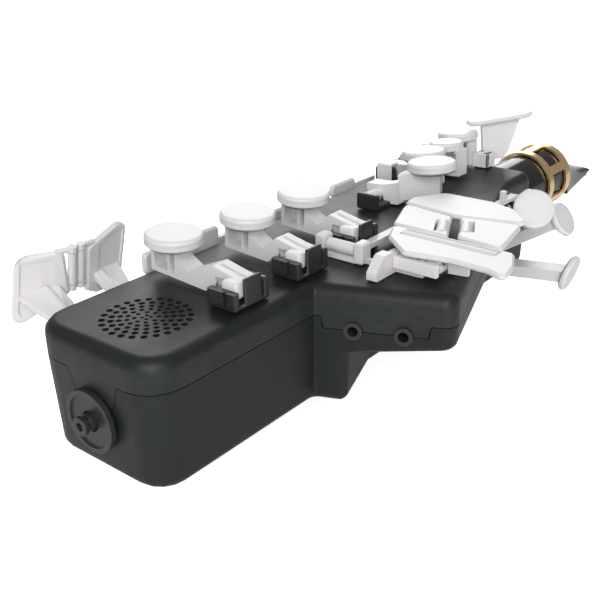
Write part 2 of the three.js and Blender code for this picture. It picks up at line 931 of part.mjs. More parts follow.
function speakerBasket() {
  const top = body.height - body.wall - clearance;
  const rim = top - speaker.flangeThickness;
  const low = top - speaker.depth;
  const seat = rim - speaker.coneDepth - clearance;
  const profile = [
    [speaker.flangeRadius, top],
    [speaker.coneRadius + clearance, top],
    [speaker.coneRadius + clearance, rim - clearance],
    [speaker.capRadius + clearance, seat - speaker.coneSkin],
    [0, seat - speaker.coneSkin],
    [0, low],
    [speaker.magnetRadius, low],
    [speaker.magnetRadius, seat - 2 * speaker.basketWall],
    [speaker.basketRadius, seat - 2 * speaker.basketWall],
    [speaker.flangeRadius, rim - speaker.basketWall],
  ];
  return turned(profile, [speaker.x, speaker.y, 0], [0, 0, 1], 20);
}

function speakerCone() {
  const top = body.height - body.wall - clearance - speaker.flangeThickness;
  const low = top - speaker.coneDepth;
  const profile = [
    [0, low + speaker.coneSkin],
    [speaker.capRadius, low + speaker.coneSkin],
    [speaker.coneRadius - speaker.coneSkin, top + speaker.coneSkin],
    [speaker.coneRadius, top + speaker.coneSkin],
    [speaker.coneRadius, top],
    [speaker.capRadius, low],
    [0, low],
  ];
  return turned(profile, [speaker.x, speaker.y, 0], [0, 0, 1], 20);
}

const sensor = { size: 9, farInset: 70, height: 3, edge: 0.5 };

function breathSensor() {
  const top = boardUnder - clearance;
  const near = body.length - sensor.farInset;
  const corners = [
    [-sensor.size / 2, near, sensor.edge],
    [sensor.size / 2, near, sensor.edge],
    [sensor.size / 2, near + sensor.size, sensor.edge],
    [-sensor.size / 2, near + sensor.size, sensor.edge],
  ];
  return prismZ(rounded(corners, 2), top - sensor.height, top);
}

// Mouthpiece

const beak = {
  shankRadius: 14,
  shankLength: 64.9,
  shankEdge: 1.6,
  beakLength: 42,
  tipHalfWidth: 8.2,
  tipTop: 6.2,
  tipBottom: 7.3,
  tableDepth: 9,
  concaveShare: 0.45,
  rings: 7,
  windowHalfWidth: 5,
  windowLength: 24,
  tipRail: 4,
  boreRadius: 5.5,
};
const reedSize = {
  buttHalfWidth: 6.2,
  tipHalfWidth: 7.8,
  thickness: 2.4,
  tip: 0.5,
  length: 67,
  flatShare: 0.45,
};
const ligatureSize = {
  inner: 14.5,
  thickness: 1.1,
  shankGap: 2,
  length: 23,
  ringWidth: 4.6,
  bars: 6,
  barWidth: 4.4,
  slit: 1.2,
  lugHalf: 4.2,
  lugDrop: 6.5,
  lugLength: 4.6,
  screwRadius: 1.2,
  screwHead: 3.1,
  screwHeadLength: 4.5,
};
const tableZ = neckZ - beak.tableDepth;
const shankStart = body.length + clearance + neck.collarThickness + clearance;
const shankEnd = shankStart + beak.shankLength;
const beakTip = shankEnd + beak.beakLength;
const reedTip = beakTip - overrun;
const reedStart = reedTip - reedSize.length;
const ligatureEnd = shankEnd - ligatureSize.shankGap;
const ligatureStart = ligatureEnd - ligatureSize.length;

function beakRing(share) {
  const y = shankEnd + beak.beakLength * share;
  const dip = (1 - share) ** 2 * (1 - beak.concaveShare) + (1 - share) * beak.concaveShare;
  const top = neckZ - beak.tipTop + (beak.shankRadius + beak.tipTop) * dip;
  const bottom = tableZ + (beak.tableDepth - beak.tipBottom) * share ** 3;
  const halfWidth = beak.shankRadius + (beak.tipHalfWidth - beak.shankRadius) * share ** 0.8;
  const count = 16;
  const crown = Array.from({ length: count + 1 }, (_, k) => {
    const angle = (k / count) * Math.PI;
    const z = bottom + (top - bottom) * Math.sin(angle) ** 0.75;
    return [halfWidth * Math.cos(angle), z, y];
  });
  return crown;
}

function mouthpiece() {
  const shankProfile = [
    [0, shankStart],
    [beak.shankRadius - beak.shankEdge, shankStart],
    [beak.shankRadius, shankStart + beak.shankEdge],
    [beak.shankRadius, shankEnd],
    [0, shankEnd],
  ];
  const shank = turned(shankProfile, [0, 0, neckZ], [0, 1, 0], 32);
  const rings = Array.from({ length: beak.rings }, (_, k) => beakRing(k / (beak.rings - 1)));
  const toBody = new THREE.Matrix4().makeBasis(
    new THREE.Vector3(1, 0, 0),
    new THREE.Vector3(0, 0, 1),
    new THREE.Vector3(0, 1, 0),
  );
  const front = solidOf(geometryOf(loft(rings)).applyMatrix4(toBody));
  const under = beak.shankRadius + overrun;
  const table = box([-under, reedStart - clearance, neckZ - under], [under, shankEnd, tableZ]);
  const socket = rod(
    [0, shankStart - overrun, neckZ],
    [0, body.length + neck.collarThickness + neck.corkLength + 2 * clearance + overrun, neckZ],
    neck.corkRadius + clearance,
    32,
  );
  const windowEnd = beakTip - beak.tipRail;
  const windowStart = windowEnd - beak.windowLength;
  const bore = rod(
    [0, shankStart, neckZ],
    [0, windowStart + overrun, neckZ - beak.boreRadius / 2],
    beak.boreRadius,
    24,
  );
  const window = prismX(
    [
      [windowStart, tableZ - overrun],
      [windowEnd, tableZ - overrun],
      [windowEnd, tableZ + beak.tableDepth / 8],
      [windowStart, neckZ - beak.boreRadius / 2],
    ],
    -beak.windowHalfWidth,
    beak.windowHalfWidth,
  );
  return cut(join(shank, front), table, socket, bore, window);
}

function reed() {
  const top = tableZ - clearance;
  const knee = reedStart + reedSize.length * reedSize.flatShare;
  const side = prismX(
    [
      [reedStart, top - reedSize.thickness],
      [knee, top - reedSize.thickness],
      [reedTip, top - reedSize.tip],
      [reedTip, top],
      [reedStart, top],
    ],
    -beak.shankRadius,
    beak.shankRadius,
  );
  const plan = prismZ(
    [
      [-reedSize.buttHalfWidth, reedStart - overrun],
      [reedSize.buttHalfWidth, reedStart - overrun],
      [reedSize.tipHalfWidth, beakTip],
      [-reedSize.tipHalfWidth, beakTip],
    ],
    0,
    neckZ,
  );
  return side.intersect(plan);
}

const ligatureLugZ = neckZ - ligatureSize.inner - ligatureSize.thickness;
const ligatureScrewZ = ligatureLugZ - ligatureSize.lugDrop / 2;
const ligatureScrewYs = [
  ligatureStart + ligatureSize.lugLength / 2,
  ligatureEnd - ligatureSize.lugLength / 2,
];

function ligature() {
  const outer = ligatureSize.inner + ligatureSize.thickness;
  const band = (inner, from, to) =>
    turned(
      [
        [inner, from],
        [outer, from],
        [outer, to],
        [inner, to],
      ],
      [0, 0, neckZ],
      [0, 1, 0],
      24,
    );
  const windows = Array.from({ length: ligatureSize.bars }, (_, k) => {
    const from = ((k + 0.5) / ligatureSize.bars) * 2 * Math.PI - Math.PI / 2;
    const gap = Math.PI / ligatureSize.bars - ligatureSize.barWidth / outer / 2;
    const reach = outer + overrun;
    const corner = (angle) => [reach * Math.cos(angle), neckZ + reach * Math.sin(angle)];
    return prismY(
      [[0, neckZ], corner(from - gap), corner(from), corner(from + gap)],
      ligatureStart + ligatureSize.ringWidth,
      ligatureEnd - ligatureSize.ringWidth,
    );
  });
  const lugBlocks = ligatureScrewYs.map((y) =>
    box(
      [-ligatureSize.lugHalf, y - ligatureSize.lugLength / 2, ligatureLugZ - ligatureSize.lugDrop],
      [ligatureSize.lugHalf, y + ligatureSize.lugLength / 2, ligatureLugZ + ligatureSize.thickness / 2],
    ),
  );
  const slit = box(
    [-ligatureSize.slit, ligatureStart - overrun, ligatureLugZ - ligatureSize.lugDrop - overrun],
    [ligatureSize.slit, ligatureEnd + overrun, neckZ - ligatureSize.inner + overrun],
  );
  const holes = ligatureScrewYs.map((y) =>
    rod(
      [-ligatureSize.lugHalf - overrun, y, ligatureScrewZ],
      [ligatureSize.lugHalf + overrun, y, ligatureScrewZ],
      ligatureSize.screwRadius + pinClearance,
      16,
    ),
  );
  const sleeve = band(ligatureSize.inner, ligatureStart, ligatureEnd);
  return cut(join(cut(sleeve, windows), lugBlocks), slit, holes);
}

function ligatureScrew(y) {
  const headFrom = ligatureSize.lugHalf + clearance;
  return join(
    rod(
      [-ligatureSize.lugHalf - ligatureSize.slit, y, ligatureScrewZ],
      [headFrom + clearance, y, ligatureScrewZ],
      ligatureSize.screwRadius,
      16,
    ),
    puck(
      ligatureSize.screwHead,
      ligatureSize.screwHeadLength,
      ligatureSize.slit / 2,
      [headFrom, y, ligatureScrewZ],
      [1, 0, 0],
      20,
    ),
  );
}

// Back

const hook = {
  yShare: 0.45455,
  halfWidth: 11,
  x: -4,
  base: 3,
  baseLength: 26,
  drop: 12,
  thickness: 3.4,
  lip: 14,
  corner: 3,
};
const strap = { farInset: 48, halfWidth: 11, base: 2.6, length: 9, drop: 12, bore: 3.2, corner: 2.5 };
const rest = { farInset: 32, radius: 9, height: 3.4, edge: 1.2 };
const octave = {
  pivotX: -9,
  pivotZ: -3,
  farInset: 13.4,
  length: 7.2,
  tube: 1.7,
  cheekHalf: 2.4,
  cheekDrop: 2.2,
  armThickness: 1.8,
  padX: 5,
  padRadius: 5.6,
  padThickness: 2.2,
  padEdge: 0.7,
};

function thumbHook() {
  const top = -clearance;
  const middle = body.length * hook.yShare;
  const nearY = middle - hook.baseLength / 2;
  const profile = [
    [nearY, top - hook.base, hook.corner / 3],
    [middle + hook.base, top - hook.base, hook.corner],
    [middle + hook.base, top - hook.drop, hook.corner / 3],
    [middle + hook.base + hook.lip, top - hook.drop, hook.corner / 2],
    [middle + hook.base + hook.lip, top - hook.drop + hook.thickness, hook.corner / 2],
    [middle + hook.base + hook.thickness, top - hook.drop + hook.thickness, hook.corner],
    [middle + hook.base + hook.thickness, top, hook.corner / 3],
    [nearY, top, hook.corner / 3],
  ];
  return prismX(rounded(profile, 3), hook.x - hook.halfWidth, hook.x + hook.halfWidth);
}

function strapRing() {
  const top = -clearance;
  const outline = [
    [-strap.halfWidth, top - strap.drop, strap.corner],
    [strap.halfWidth, top - strap.drop, strap.corner],
    [strap.halfWidth, top, 0],
    [-strap.halfWidth, top, 0],
  ];
  const eye = [
    [-strap.halfWidth + strap.bore, top - strap.drop + strap.bore, strap.corner],
    [strap.halfWidth - strap.bore, top - strap.drop + strap.bore, strap.corner],
    [strap.halfWidth - strap.bore, top - strap.base, strap.corner],
    [-strap.halfWidth + strap.bore, top - strap.base, strap.corner],
  ];
  const middle = body.length - strap.farInset;
  const low = middle - strap.length / 2;
  const high = middle + strap.length / 2;
  return cut(prismY(rounded(outline, 3), low, high), prismY(rounded(eye, 3), low - overrun, high + overrun));
}

function thumbRest() {
  const place = [0, body.length - rest.farInset, -clearance - rest.height];
  return puck(rest.radius, rest.height, rest.edge, place);
}

const octavePivot = [octave.pivotX, octave.pivotZ];
const octaveFar = body.length - octave.farInset;
const octaveNear = octaveFar - octave.length;

function octaveCheeks() {
  const cheek = (from) =>
    box(
      [octave.pivotX - octave.cheekHalf, from, octave.pivotZ - octave.cheekDrop],
      [octave.pivotX + octave.cheekHalf, from + lugs.thickness, body.wall / 2],
    );
  const hole = rod(
    [octave.pivotX, octaveNear - clearance - lugs.thickness - overrun, octave.pivotZ],
    [octave.pivotX, octaveFar + clearance + lugs.thickness + overrun, octave.pivotZ],
    lugHole,
  );
  return cut(join(cheek(octaveNear - clearance - lugs.thickness), cheek(octaveFar + clearance)), hole);
}

function octaveKey() {
  const middle = (octaveNear + octaveFar) / 2;
  const tube = rod(
    [octave.pivotX, octaveNear, octave.pivotZ],
    [octave.pivotX, octaveFar, octave.pivotZ],
    octave.tube,
  );
  const arm = box(
    [octave.pivotX, octaveNear + octave.padEdge, octave.pivotZ - octave.armThickness / 2],
    [octave.padX, octaveFar - octave.padEdge, octave.pivotZ + octave.armThickness / 2],
  );
  const pad = puck(octave.padRadius, octave.padThickness, octave.padEdge, [
    octave.padX,
    middle,
    octave.pivotZ - octave.padThickness + octave.padEdge,
  ]);
  return join(tube, arm, pad, trunnions(octavePivot, octaveNear, octaveFar));
}

// Lower and upper stack levers. Distances along a lever run from its pivot towards its touch.

const lever = {
  width: 6.5,
  near: 3,
  pivotZ: 4.5,
  barrel: 2,
  pin: 1,
  floorGap: 0.4,
  tail: 4.4,
  tailLow: 5,
  tailTop: 7.7,
  plateEnd: 11.5,
  crest: 8.5,
  crestTop: 9.6,
  crestUnder: 5.2,
  valley: 5,
  valleyTop: 4.6,
  stemStart: 7,
  stemInner: 4.3,
  stemOuter: 7.5,
  discTop: 14.2,
  discThickness: 4.3,
  discEdge: 1.2,
  recess: 4.6,
  recessWall: 1.5,
  ribShare: 0.34,
  rib: 1.2,
  post: 1.4,
  restAngle: 3.5,
};
const bracket = {
  lowFloor: 1.9,
  reachFront: 5,
  reachBack: 6,
  upperBack: 4.4,
  stemGap: 1.2,
  cheek: 2.4,
  cheekTop: 6.9,
  farCheekTop: 7.3,
  edge: 0.6,
};
// Insets of the pivots are from the body's long edges, insets of the upper keys from its far end.
const stack = {
  lowerPivotInset: 10.5,
  lowerBarrel: 6.4,
  lowerRadius: 9.25,
  upperPivotInset: 9.6,
  farPivotInset: 7.6,
  upperBarrel: 4.4,
  aInset: 44.9,
  aRadius: 8.9,
  bisInset: 28.3,
  bisRadius: 7,
  bInset: 9.5,
  bRadius: 8.6,
};
const lowerKey = (name, xShare, yShare) => ({
  name,
  x: half * xShare,
  y: body.length * yShare,
  radius: stack.lowerRadius,
  pivotX: half - stack.lowerPivotInset,
  barrelReach: stack.lowerBarrel,
  crested: true,
});
const upperKey = (name, xShare, inset, radius, pivotInset) => ({
  name,
  x: half * xShare,
  y: body.length - inset,
  radius,
  pivotX: pivotInset - half,
  barrelReach: stack.upperBarrel,
  crested: false,
});
const levers = [
  lowerKey("key_d", -0.47308, 0.20909),
  lowerKey("key_e", -0.29231, 0.33909),
  lowerKey("key_f", -0.26154, 0.46727),
  upperKey("key_a", -0.05769, stack.aInset, stack.aRadius, stack.upperPivotInset),
  upperKey("key_bis", -0.02692, stack.bisInset, stack.bisRadius, stack.upperPivotInset),
  upperKey("key_b", -0.23462, stack.bInset, stack.bRadius, stack.farPivotInset),
];
const keyTop = (height) => body.height + height;
const leverPivot = (key) => [key.pivotX, key.y, keyTop(lever.pivotZ)];
const leverSide = (key) => Math.sign(key.pivotX - key.x);
const axisY = new THREE.Vector3(0, 1, 0);

function leverOutline(key) {
  const reach = Math.abs(key.pivotX - key.x);
  const stemFrom = reach - lever.stemInner;
  const stemTo = reach + lever.stemOuter;
  const discUnder = lever.discTop - lever.discThickness + lever.discEdge;
  const rightEnd = key.crested
    ? [
        [lever.plateEnd, lever.floorGap],
        [lever.crest, lever.crestUnder - lever.barrel],
      ]
    : [
        [lever.barrel, lever.pivotZ - lever.barrel],
        [stemFrom, lever.floorGap],
      ].toReversed();
  const top = key.crested
    ? [
        [lever.crest, lever.crestTop],
        [stemFrom - lever.valley, lever.valleyTop],
        [stemFrom, lever.stemStart],
      ]
    : [[stemFrom, lever.tailTop]];
  return [
    [stemTo, lever.floorGap],
    ...rightEnd,
    [0, lever.pivotZ - lever.barrel / 2],
    [-lever.tail, lever.tailLow],
    [-lever.tail, lever.tailTop],
    ...top,
    [stemFrom, discUnder],
    [stemTo, discUnder],
  ];
}

function leverSolid(key) {
  const side = leverSide(key);
  const atX = (distance) => key.pivotX - side * distance;
  const reach = Math.abs(key.pivotX - key.x);
  const from = key.y - lever.near;
  const to = from + lever.width;
  const outline = leverOutline(key).map(([distance, height]) => [atX(distance), keyTop(height)]);
  const arm = prismY(outline, from, to);
  const stemFrom = reach - lever.stemInner;
  const stemTo = reach + lever.stemOuter;
  const discUnder = lever.discTop - lever.discThickness;
  const ribAt = stemFrom + (stemTo - stemFrom) * lever.ribShare;
  const recess = (start, end) =>
    box(
      [Math.min(atX(start), atX(end)), from - overrun, keyTop(lever.floorGap + lever.recessWall)],
      [Math.max(atX(start), atX(end)), from + lever.recess, keyTop(discUnder)],
    );
  const recesses = [
    recess(stemFrom + lever.post, ribAt - lever.rib / 2),
    recess(ribAt + lever.rib / 2, stemTo - lever.recessWall),
  ];
  const disc = puck(key.radius, lever.discThickness, lever.discEdge, [key.x, key.y, keyTop(discUnder)]);
  const pivot = leverPivot(key);
  const barrel = rod(
    [pivot[0], key.y - key.barrelReach, pivot[2]],
    [pivot[0], to, pivot[2]],
    lever.barrel,
  );
  const pins = rod(
    [pivot[0], key.y - key.barrelReach - bracket.cheek, pivot[2]],
    [pivot[0], to + bracket.cheek, pivot[2]],
    lever.pin,
    10,
  );
  return join(cut(arm, recesses), disc, barrel, pins);
}

// The end of a bracket on the touch's side, short of the lever's stem.
function bracketFront(key) {
  const free = Math.abs(key.pivotX - key.x) - lever.stemOuter - bracket.stemGap;
  return key.pivotX - leverSide(key) * Math.min(free, bracket.reachFront);
}

// The base and two cheeks that carry one lever's pins.
function leverBracket(key) {
  const side = leverSide(key);
  const front = bracketFront(key);
  const rear = key.pivotX + side * (side > 0 ? bracket.reachBack : bracket.upperBack);
  const low = Math.min(front, rear);
  const high = Math.max(front, rear);
  const nearInner = key.y - key.barrelReach - clearance;
  const farInner = key.y - lever.near + lever.width + clearance;
  const floor = keyTop(clearance);
  const block = (y0, y1, top) =>
    plate(
      [
        [low, y0, bracket.edge],
        [high, y0, bracket.edge],
        [high, y1, bracket.edge],
        [low, y1, bracket.edge],
      ],
      floor,
      keyTop(top),
      bracket.edge,
      2,
    );
  const hole = rod(
    [key.pivotX, nearInner - 2 * bracket.cheek, keyTop(lever.pivotZ)],
    [key.pivotX, farInner + 2 * bracket.cheek, keyTop(lever.pivotZ)],
    lever.pin + pinClearance,
    10,
  );
  return cut(
    join(
      block(nearInner - bracket.cheek, farInner + bracket.cheek, bracket.lowFloor),
      block(nearInner - bracket.cheek, nearInner, bracket.cheekTop),
      block(farInner, farInner + bracket.cheek, bracket.farCheekTop),
    ),
    hole,
  );
}

// The G lever turns beside its touch: a short arm, and a block that runs on to the touch.
const sizeG = {
  xShare: 0.45769,
  farInset: 60.7,
  radius: 9.4,
  discTop: 15.1,
  reach: 15.3,
  barrelNear: 21.9,
  armNear: 14.1,
  armFar: 7.7,
  tail: 5.4,
  blockLeft: 8.3,
  blockNear: 13.9,
  blockRight: 1.7,
  blockTurn: 3.1,
  blockFar: 8.3,
  blockInset: 2,
  low: 0.5,
  top: 9,
  edge: 0.8,
  bracketLeft: 3,
  bracketRight: 6.2,
  cheekTop: 6.6,
};
const touchG = { x: half * sizeG.xShare, y: body.length - sizeG.farInset };
const leverG = {
  ...sizeG,
  ...touchG,
  pivotX: touchG.x - sizeG.reach,
  barrelNear: touchG.y - sizeG.barrelNear,
  armNear: touchG.y - sizeG.armNear,
  armFar: touchG.y - sizeG.armFar,
  blockLeft: touchG.x - sizeG.blockLeft,
  blockNear: touchG.y - sizeG.blockNear,
  blockRight: touchG.x + sizeG.blockRight,
  blockTurn: touchG.y + sizeG.blockTurn,
  blockFar: touchG.y + sizeG.blockFar,
  bracketLeft: touchG.x - sizeG.reach - sizeG.bracketLeft,
  bracketRight: touchG.x - sizeG.reach + sizeG.bracketRight,
};
const pivotG = [leverG.pivotX, leverG.armNear, keyTop(lever.pivotZ)];

function leverGSolid() {
  const discUnder = leverG.discTop - lever.discThickness;
  const arm = prismY(
    [
      [leverG.pivotX - leverG.tail, keyTop(lever.tailLow)],
      [leverG.pivotX, keyTop(lever.pivotZ - lever.barrel / 2)],
      [leverG.pivotX + lever.barrel, keyTop(lever.pivotZ - lever.barrel / 2)],
      [leverG.pivotX + lever.barrel + clearance, keyTop(leverG.low)],
      [leverG.blockLeft + leverG.edge * 2, keyTop(leverG.low)],
      [leverG.blockLeft + leverG.edge * 2, keyTop(leverG.top)],
      [leverG.pivotX + lever.barrel, keyTop(lever.tailTop)],
      [leverG.pivotX - leverG.tail, keyTop(lever.tailTop)],
    ],
    leverG.armNear,
    leverG.armFar,
  );
  const block = plate(
    [
      [leverG.blockLeft, leverG.blockNear, leverG.edge],
      [leverG.blockRight, leverG.blockTurn, leverG.edge],
      [leverG.blockRight - leverG.blockInset, leverG.blockFar, leverG.edge],
      [leverG.blockLeft + leverG.blockInset, leverG.blockFar, leverG.edge],
      [leverG.blockLeft, leverG.armFar, leverG.edge],
    ],
    keyTop(leverG.low),
    keyTop(discUnder + lever.discEdge),
    leverG.edge,
    2,
  );
  const place = [leverG.x, leverG.y, keyTop(discUnder)];
  const disc = puck(leverG.radius, lever.discThickness, lever.discEdge, place);
  const barrel = rod(
    [leverG.pivotX, leverG.barrelNear, pivotG[2]],
    [leverG.pivotX, leverG.armFar, pivotG[2]],
    lever.barrel,
  );
  const pins = rod(
    [leverG.pivotX, leverG.barrelNear - bracket.cheek, pivotG[2]],
    [leverG.pivotX, leverG.armFar + bracket.cheek, pivotG[2]],
    lever.pin,
    10,
  );
  return join(arm, block, disc, barrel, pins);
}

function bracketG() {
  const nearInner = leverG.barrelNear - clearance;
  const farInner = leverG.armFar + clearance;
  const block = (y0, y1, top) =>
    plate(
      [
        [leverG.bracketLeft, y0, bracket.edge],
        [leverG.bracketRight, y0, bracket.edge],
        [leverG.bracketRight, y1, bracket.edge],
        [leverG.bracketLeft, y1, bracket.edge],
      ],
      keyTop(clearance),
      keyTop(top),
      bracket.edge,
      2,
    );
  const hole = rod(
    [leverG.pivotX, nearInner - 2 * bracket.cheek, pivotG[2]],
    [leverG.pivotX, farInner + 2 * bracket.cheek, pivotG[2]],
    lever.pin + pinClearance,
    10,
  );
  const floor = box(
    [leverG.bracketLeft + bracket.edge, nearInner - bracket.edge, keyTop(clearance)],
    [leverG.pivotX + lever.barrel - clearance, farInner + bracket.edge, keyTop(bracket.lowFloor)],
  );
  const wall = box(
    [leverG.pivotX + lever.barrel + clearance, nearInner - bracket.edge, keyTop(clearance)],
    [leverG.bracketRight - bracket.edge, leverG.armNear - clearance, keyTop(bracket.lowFloor)],
  );
  const near = block(nearInner - bracket.cheek, nearInner, leverG.cheekTop);
  const far = block(farInner, farInner + bracket.cheek, leverG.cheekTop);
  return cut(join(floor, wall, near, far), hole);
}

function bracketUpper() {
  const keys = levers.filter(({ name }) => ["key_a", "key_bis", "key_b"].includes(name));
  const first = keys[0];
  const last = keys.at(-1);
  const rail = box(
    [first.pivotX - bracket.upperBack + bracket.edge, first.y, keyTop(clearance)],
    [
      bracketFront(first) - bracket.edge,
      last.y - last.barrelReach - clearance,
      keyTop(bracket.lowFloor),
    ],
  );
  return join(rail, keys.map(leverBracket));
}

// Front F: a touch that stands on a web above the far end of the body

const front = {
  pivotX: 4.6,
  pivotInset: 5.8,
  pivotZ: 4.2,
  tubeHalf: 1.3,
  tubeRadius: 2.2,
  cheek: 1.2,
  hoodThickness: 1.35,
  hoodLow: 0.7,
  hoodTop: 6.5,
  cheekHalf: 2.6,
  cheekTop: 6.2,
  webThickness: 3.4,
  footLow: 2,
  footNear: 8,
  footFar: 17,
  webNearTop: 6.4,
  webFarTop: 23.6,
  webFarMid: 19,
  webMidZ: 5.6,
  bridgeNear: 6.6,
  bridgeFar: 10.6,
  bridgeTaper: 1.2,
  bridgeThickness: 2.4,
  touchLength: 29,
  touchHalfWidth: 5,
  touchThickness: 2,
  touchEdge: 0.8,
  startLeft: 8.6,
  startNear: 1.2,
  startZ: 19,
  endRight: 11.4,
  endFar: 18.8,
  endZ: 22.5,
};
const frontY = body.length - front.pivotInset;
const frontZ = keyTop(front.pivotZ);
const frontStart = new THREE.Vector3(
  front.pivotX - front.startLeft,
  frontY - front.startNear,
  keyTop(front.startZ),
);
const frontEnd = new THREE.Vector3(
  front.pivotX + front.endRight,
  frontY + front.endFar,
  keyTop(front.endZ),
);

function frontTouch() {
  const along = frontEnd.clone().sub(frontStart).normalize();
  const across = new THREE.Vector3(0, 0, 1).cross(along).normalize();
  const normal = along.clone().cross(across);
  const corners = [
    [-front.touchLength / 2, -front.touchHalfWidth, front.touchHalfWidth - front.touchEdge],
    [front.touchLength / 2, -front.touchHalfWidth, front.touchHalfWidth - front.touchEdge],
    [front.touchLength / 2, front.touchHalfWidth, front.touchHalfWidth - front.touchEdge],
    [-front.touchLength / 2, front.touchHalfWidth, front.touchHalfWidth - front.touchEdge],
  ];
  const matrix = new THREE.Matrix4().makeBasis(along, across, normal);
  matrix.setPosition(frontStart.clone().add(frontEnd).multiplyScalar(0.5));
  return placed(plate(corners, -front.touchThickness, 0, front.touchEdge), matrix);
}

// The web stands under the middle line of the touch, wider at its top than at its foot.
function frontWeb() {
  const run = frontEnd.clone().sub(frontStart).setZ(0);
  const slope = (front.endZ - front.startZ) / run.length();
  const under = (distance) => keyTop(front.startZ + slope * distance - front.touchThickness / 2);
  const along = run.normalize();
  const outward = new THREE.Vector3(along.y, -along.x, 0);
  const origin = frontStart.clone().setZ(0).addScaledVector(outward, -front.webThickness / 2);
  const outline = [
    [front.footNear, keyTop(front.footLow)],
    [front.footFar, keyTop(front.footLow)],
    [front.webFarMid, keyTop(front.webMidZ)],
    [front.webFarTop, under(front.webFarTop)],
    [front.webNearTop, under(front.webNearTop)],
  ];
  return extruded(outline, front.webThickness, along.toArray(), [0, 0, 1], origin.toArray());
}

function frontCheeks() {
  const inner = front.tubeHalf + clearance;
  const cheek = (from) =>
    box(
      [from, frontY - front.cheekHalf, body.height - body.wall / 2],
      [from + front.cheek, frontY + front.cheekHalf, keyTop(front.cheekTop)],
    );
  const hole = rod(
    [front.pivotX - inner - front.cheek - overrun, frontY, frontZ],
    [front.pivotX + inner + front.cheek + overrun, frontY, frontZ],
    lugHole,
  );
  return cut(join(cheek(front.pivotX - inner - front.cheek), cheek(front.pivotX + inner)), hole);
}

function frontF() {
  const left = front.pivotX - front.tubeHalf;
  const right = front.pivotX + front.tubeHalf;
  const out = clearance + front.cheek;
  const barrel = rod([left, frontY, frontZ], [right, frontY, frontZ], front.tubeRadius, 12);
  const pins = rod(
    [left - out, frontY, frontZ],
    [right + out, frontY, frontZ],
    lever.pin,
    10,
  );
  const floor = [
    [left, frontY],
    [right, frontY],
    [right, frontY + front.bridgeFar],
    [right - front.bridgeTaper, frontY + front.bridgeFar + front.bridgeTaper],
    [left, frontY + front.bridgeNear],
  ];
  const bridge = prismZ(floor, keyTop(front.footLow), keyTop(front.footLow + front.bridgeThickness));
  const hoodFar = frontY - front.cheekHalf - clearance;
  const hoodNear = hoodFar - front.hoodThickness;
  const hood = join(
    box([left - out, hoodNear, keyTop(front.hoodLow)], [right, hoodFar, keyTop(front.hoodTop)]),
    box([left, hoodNear, keyTop(front.footLow)], [right, frontY, keyTop(front.hoodTop)]),
  );
  return join(frontWeb(), frontTouch(), bridge, barrel, hood, pins);
}

// Table for the little finger, on the wing

const table = {
  top: 9,
  thickness: 2,
  edge: 0.7,
  corner: 2,
  tightCorner: 0.8,
  armLow: 2.1,
  armHigh: 3.9,
  armHalf: 1.7,
  knuckle: 2.1,
  pivotZ: 4.3,
  pivotAhead: 2.1,
  bracketGap: 0.65,
  pin: 1,
  postTop: 7.6,
  underTop: 6.3,
  skirtThickness: 1.6,
  skirtLow: 1.1,
  skirtNotch: 5.2,
  postDepth: 2.6,
  base: 1.9,
  inset: 8,
  near: 4.4,
  span: 62,
};
// The table's hinges stand just in front of the bracket of the F key.
const keyF = levers.find(({ name }) => name === "key_f");
const nearF = keyF.y - keyF.barrelReach - clearance - bracket.cheek;
const sharpPivotY = nearF - table.bracketGap - table.postDepth;
const tablePivotY = sharpPivotY + table.pivotAhead;
const rollerSize = { radius: 2.3, pin: 0.7, rise: 0.4, pinLength: 1.4, bridge: 1 };
const plateShares = {
  key_g_sharp: [
    [0.01, 0.703, table.corner],
    [0.377, 0.655, table.corner * 9],
    [0.706, 0.752, table.corner],
    [0.723, 0.794, table.corner],
    [0.581, 0.939, table.corner * 3],
    [0.429, 0.99, table.corner * 3],
    [0.11, 0.987, table.corner * 2],
    [0, 0.806, table.corner],
  ],
  key_c_sharp: [
    [0.155, 0.361, table.corner],
    [0.5, 0.348, table.tightCorner],
    [0.361, 0.632, table.tightCorner],
    [0.029, 0.681, table.corner],
  ],
  key_low_b: [
    [0.542, 0.377, table.tightCorner],
    [0.806, 0.345, table.corner],
    [0.732, 0.723, table.corner],
    [0.403, 0.652, table.tightCorner],
  ],
  key_low_b_flat: [
    [0.248, 0.177, table.corner],
    [0.429, 0.035, table.corner],
    [0.658, 0.077, table.corner * 5],
    [0.863, 0.071, table.corner * 3],
    [0.994, 0.019, table.corner],
    [0.958, 0.177, table.corner * 3],
    [0.887, 0.329, table.corner],
    [0.171, 0.339, table.corner],
  ],
};
const rollers = [
  { name: "c_sharp_roller", key: "key_c_sharp", fromShares: [0.432, 0.4], toShares: [0.358, 0.552] },
  { name: "low_b_roller", key: "key_low_b", fromShares: [0.544, 0.458], toShares: [0.471, 0.602] },
  { name: "low_b_flat_roller", key: "key_low_b_flat", fromShares: [0.282, 0.277], toShares: [0.823, 0.268] },
];
const tableX = (share) => half - table.inset + share * table.span;
const tableY = (share) => sharpPivotY - table.near + share * table.span;
const rollerZ = keyTop(table.top) - rollerSize.radius + rollerSize.rise;
const armShares = { key_g_sharp: 0.75806, key_c_sharp: 0.41935, key_low_b_flat: 0.19355, key_low_b: 0.45161 };
const skirt = { leftShare: 0.46774, rightShare: 0.70968 };
const tableFoot = { leftShare: 0.30968, width: 3.6, near: 13.1, toe: 3, knee: 4.4, ledge: 3.1 };
const hinge = { gap: 0.4, knuckle: 3.6, narrow: 2.8, post: 2.6 };
const sharpHinge = { armGap: 0.6, tubeLeft: 9.2, tubeRight: 1.8, nearPost: 3.8, farPost: 3.6 };

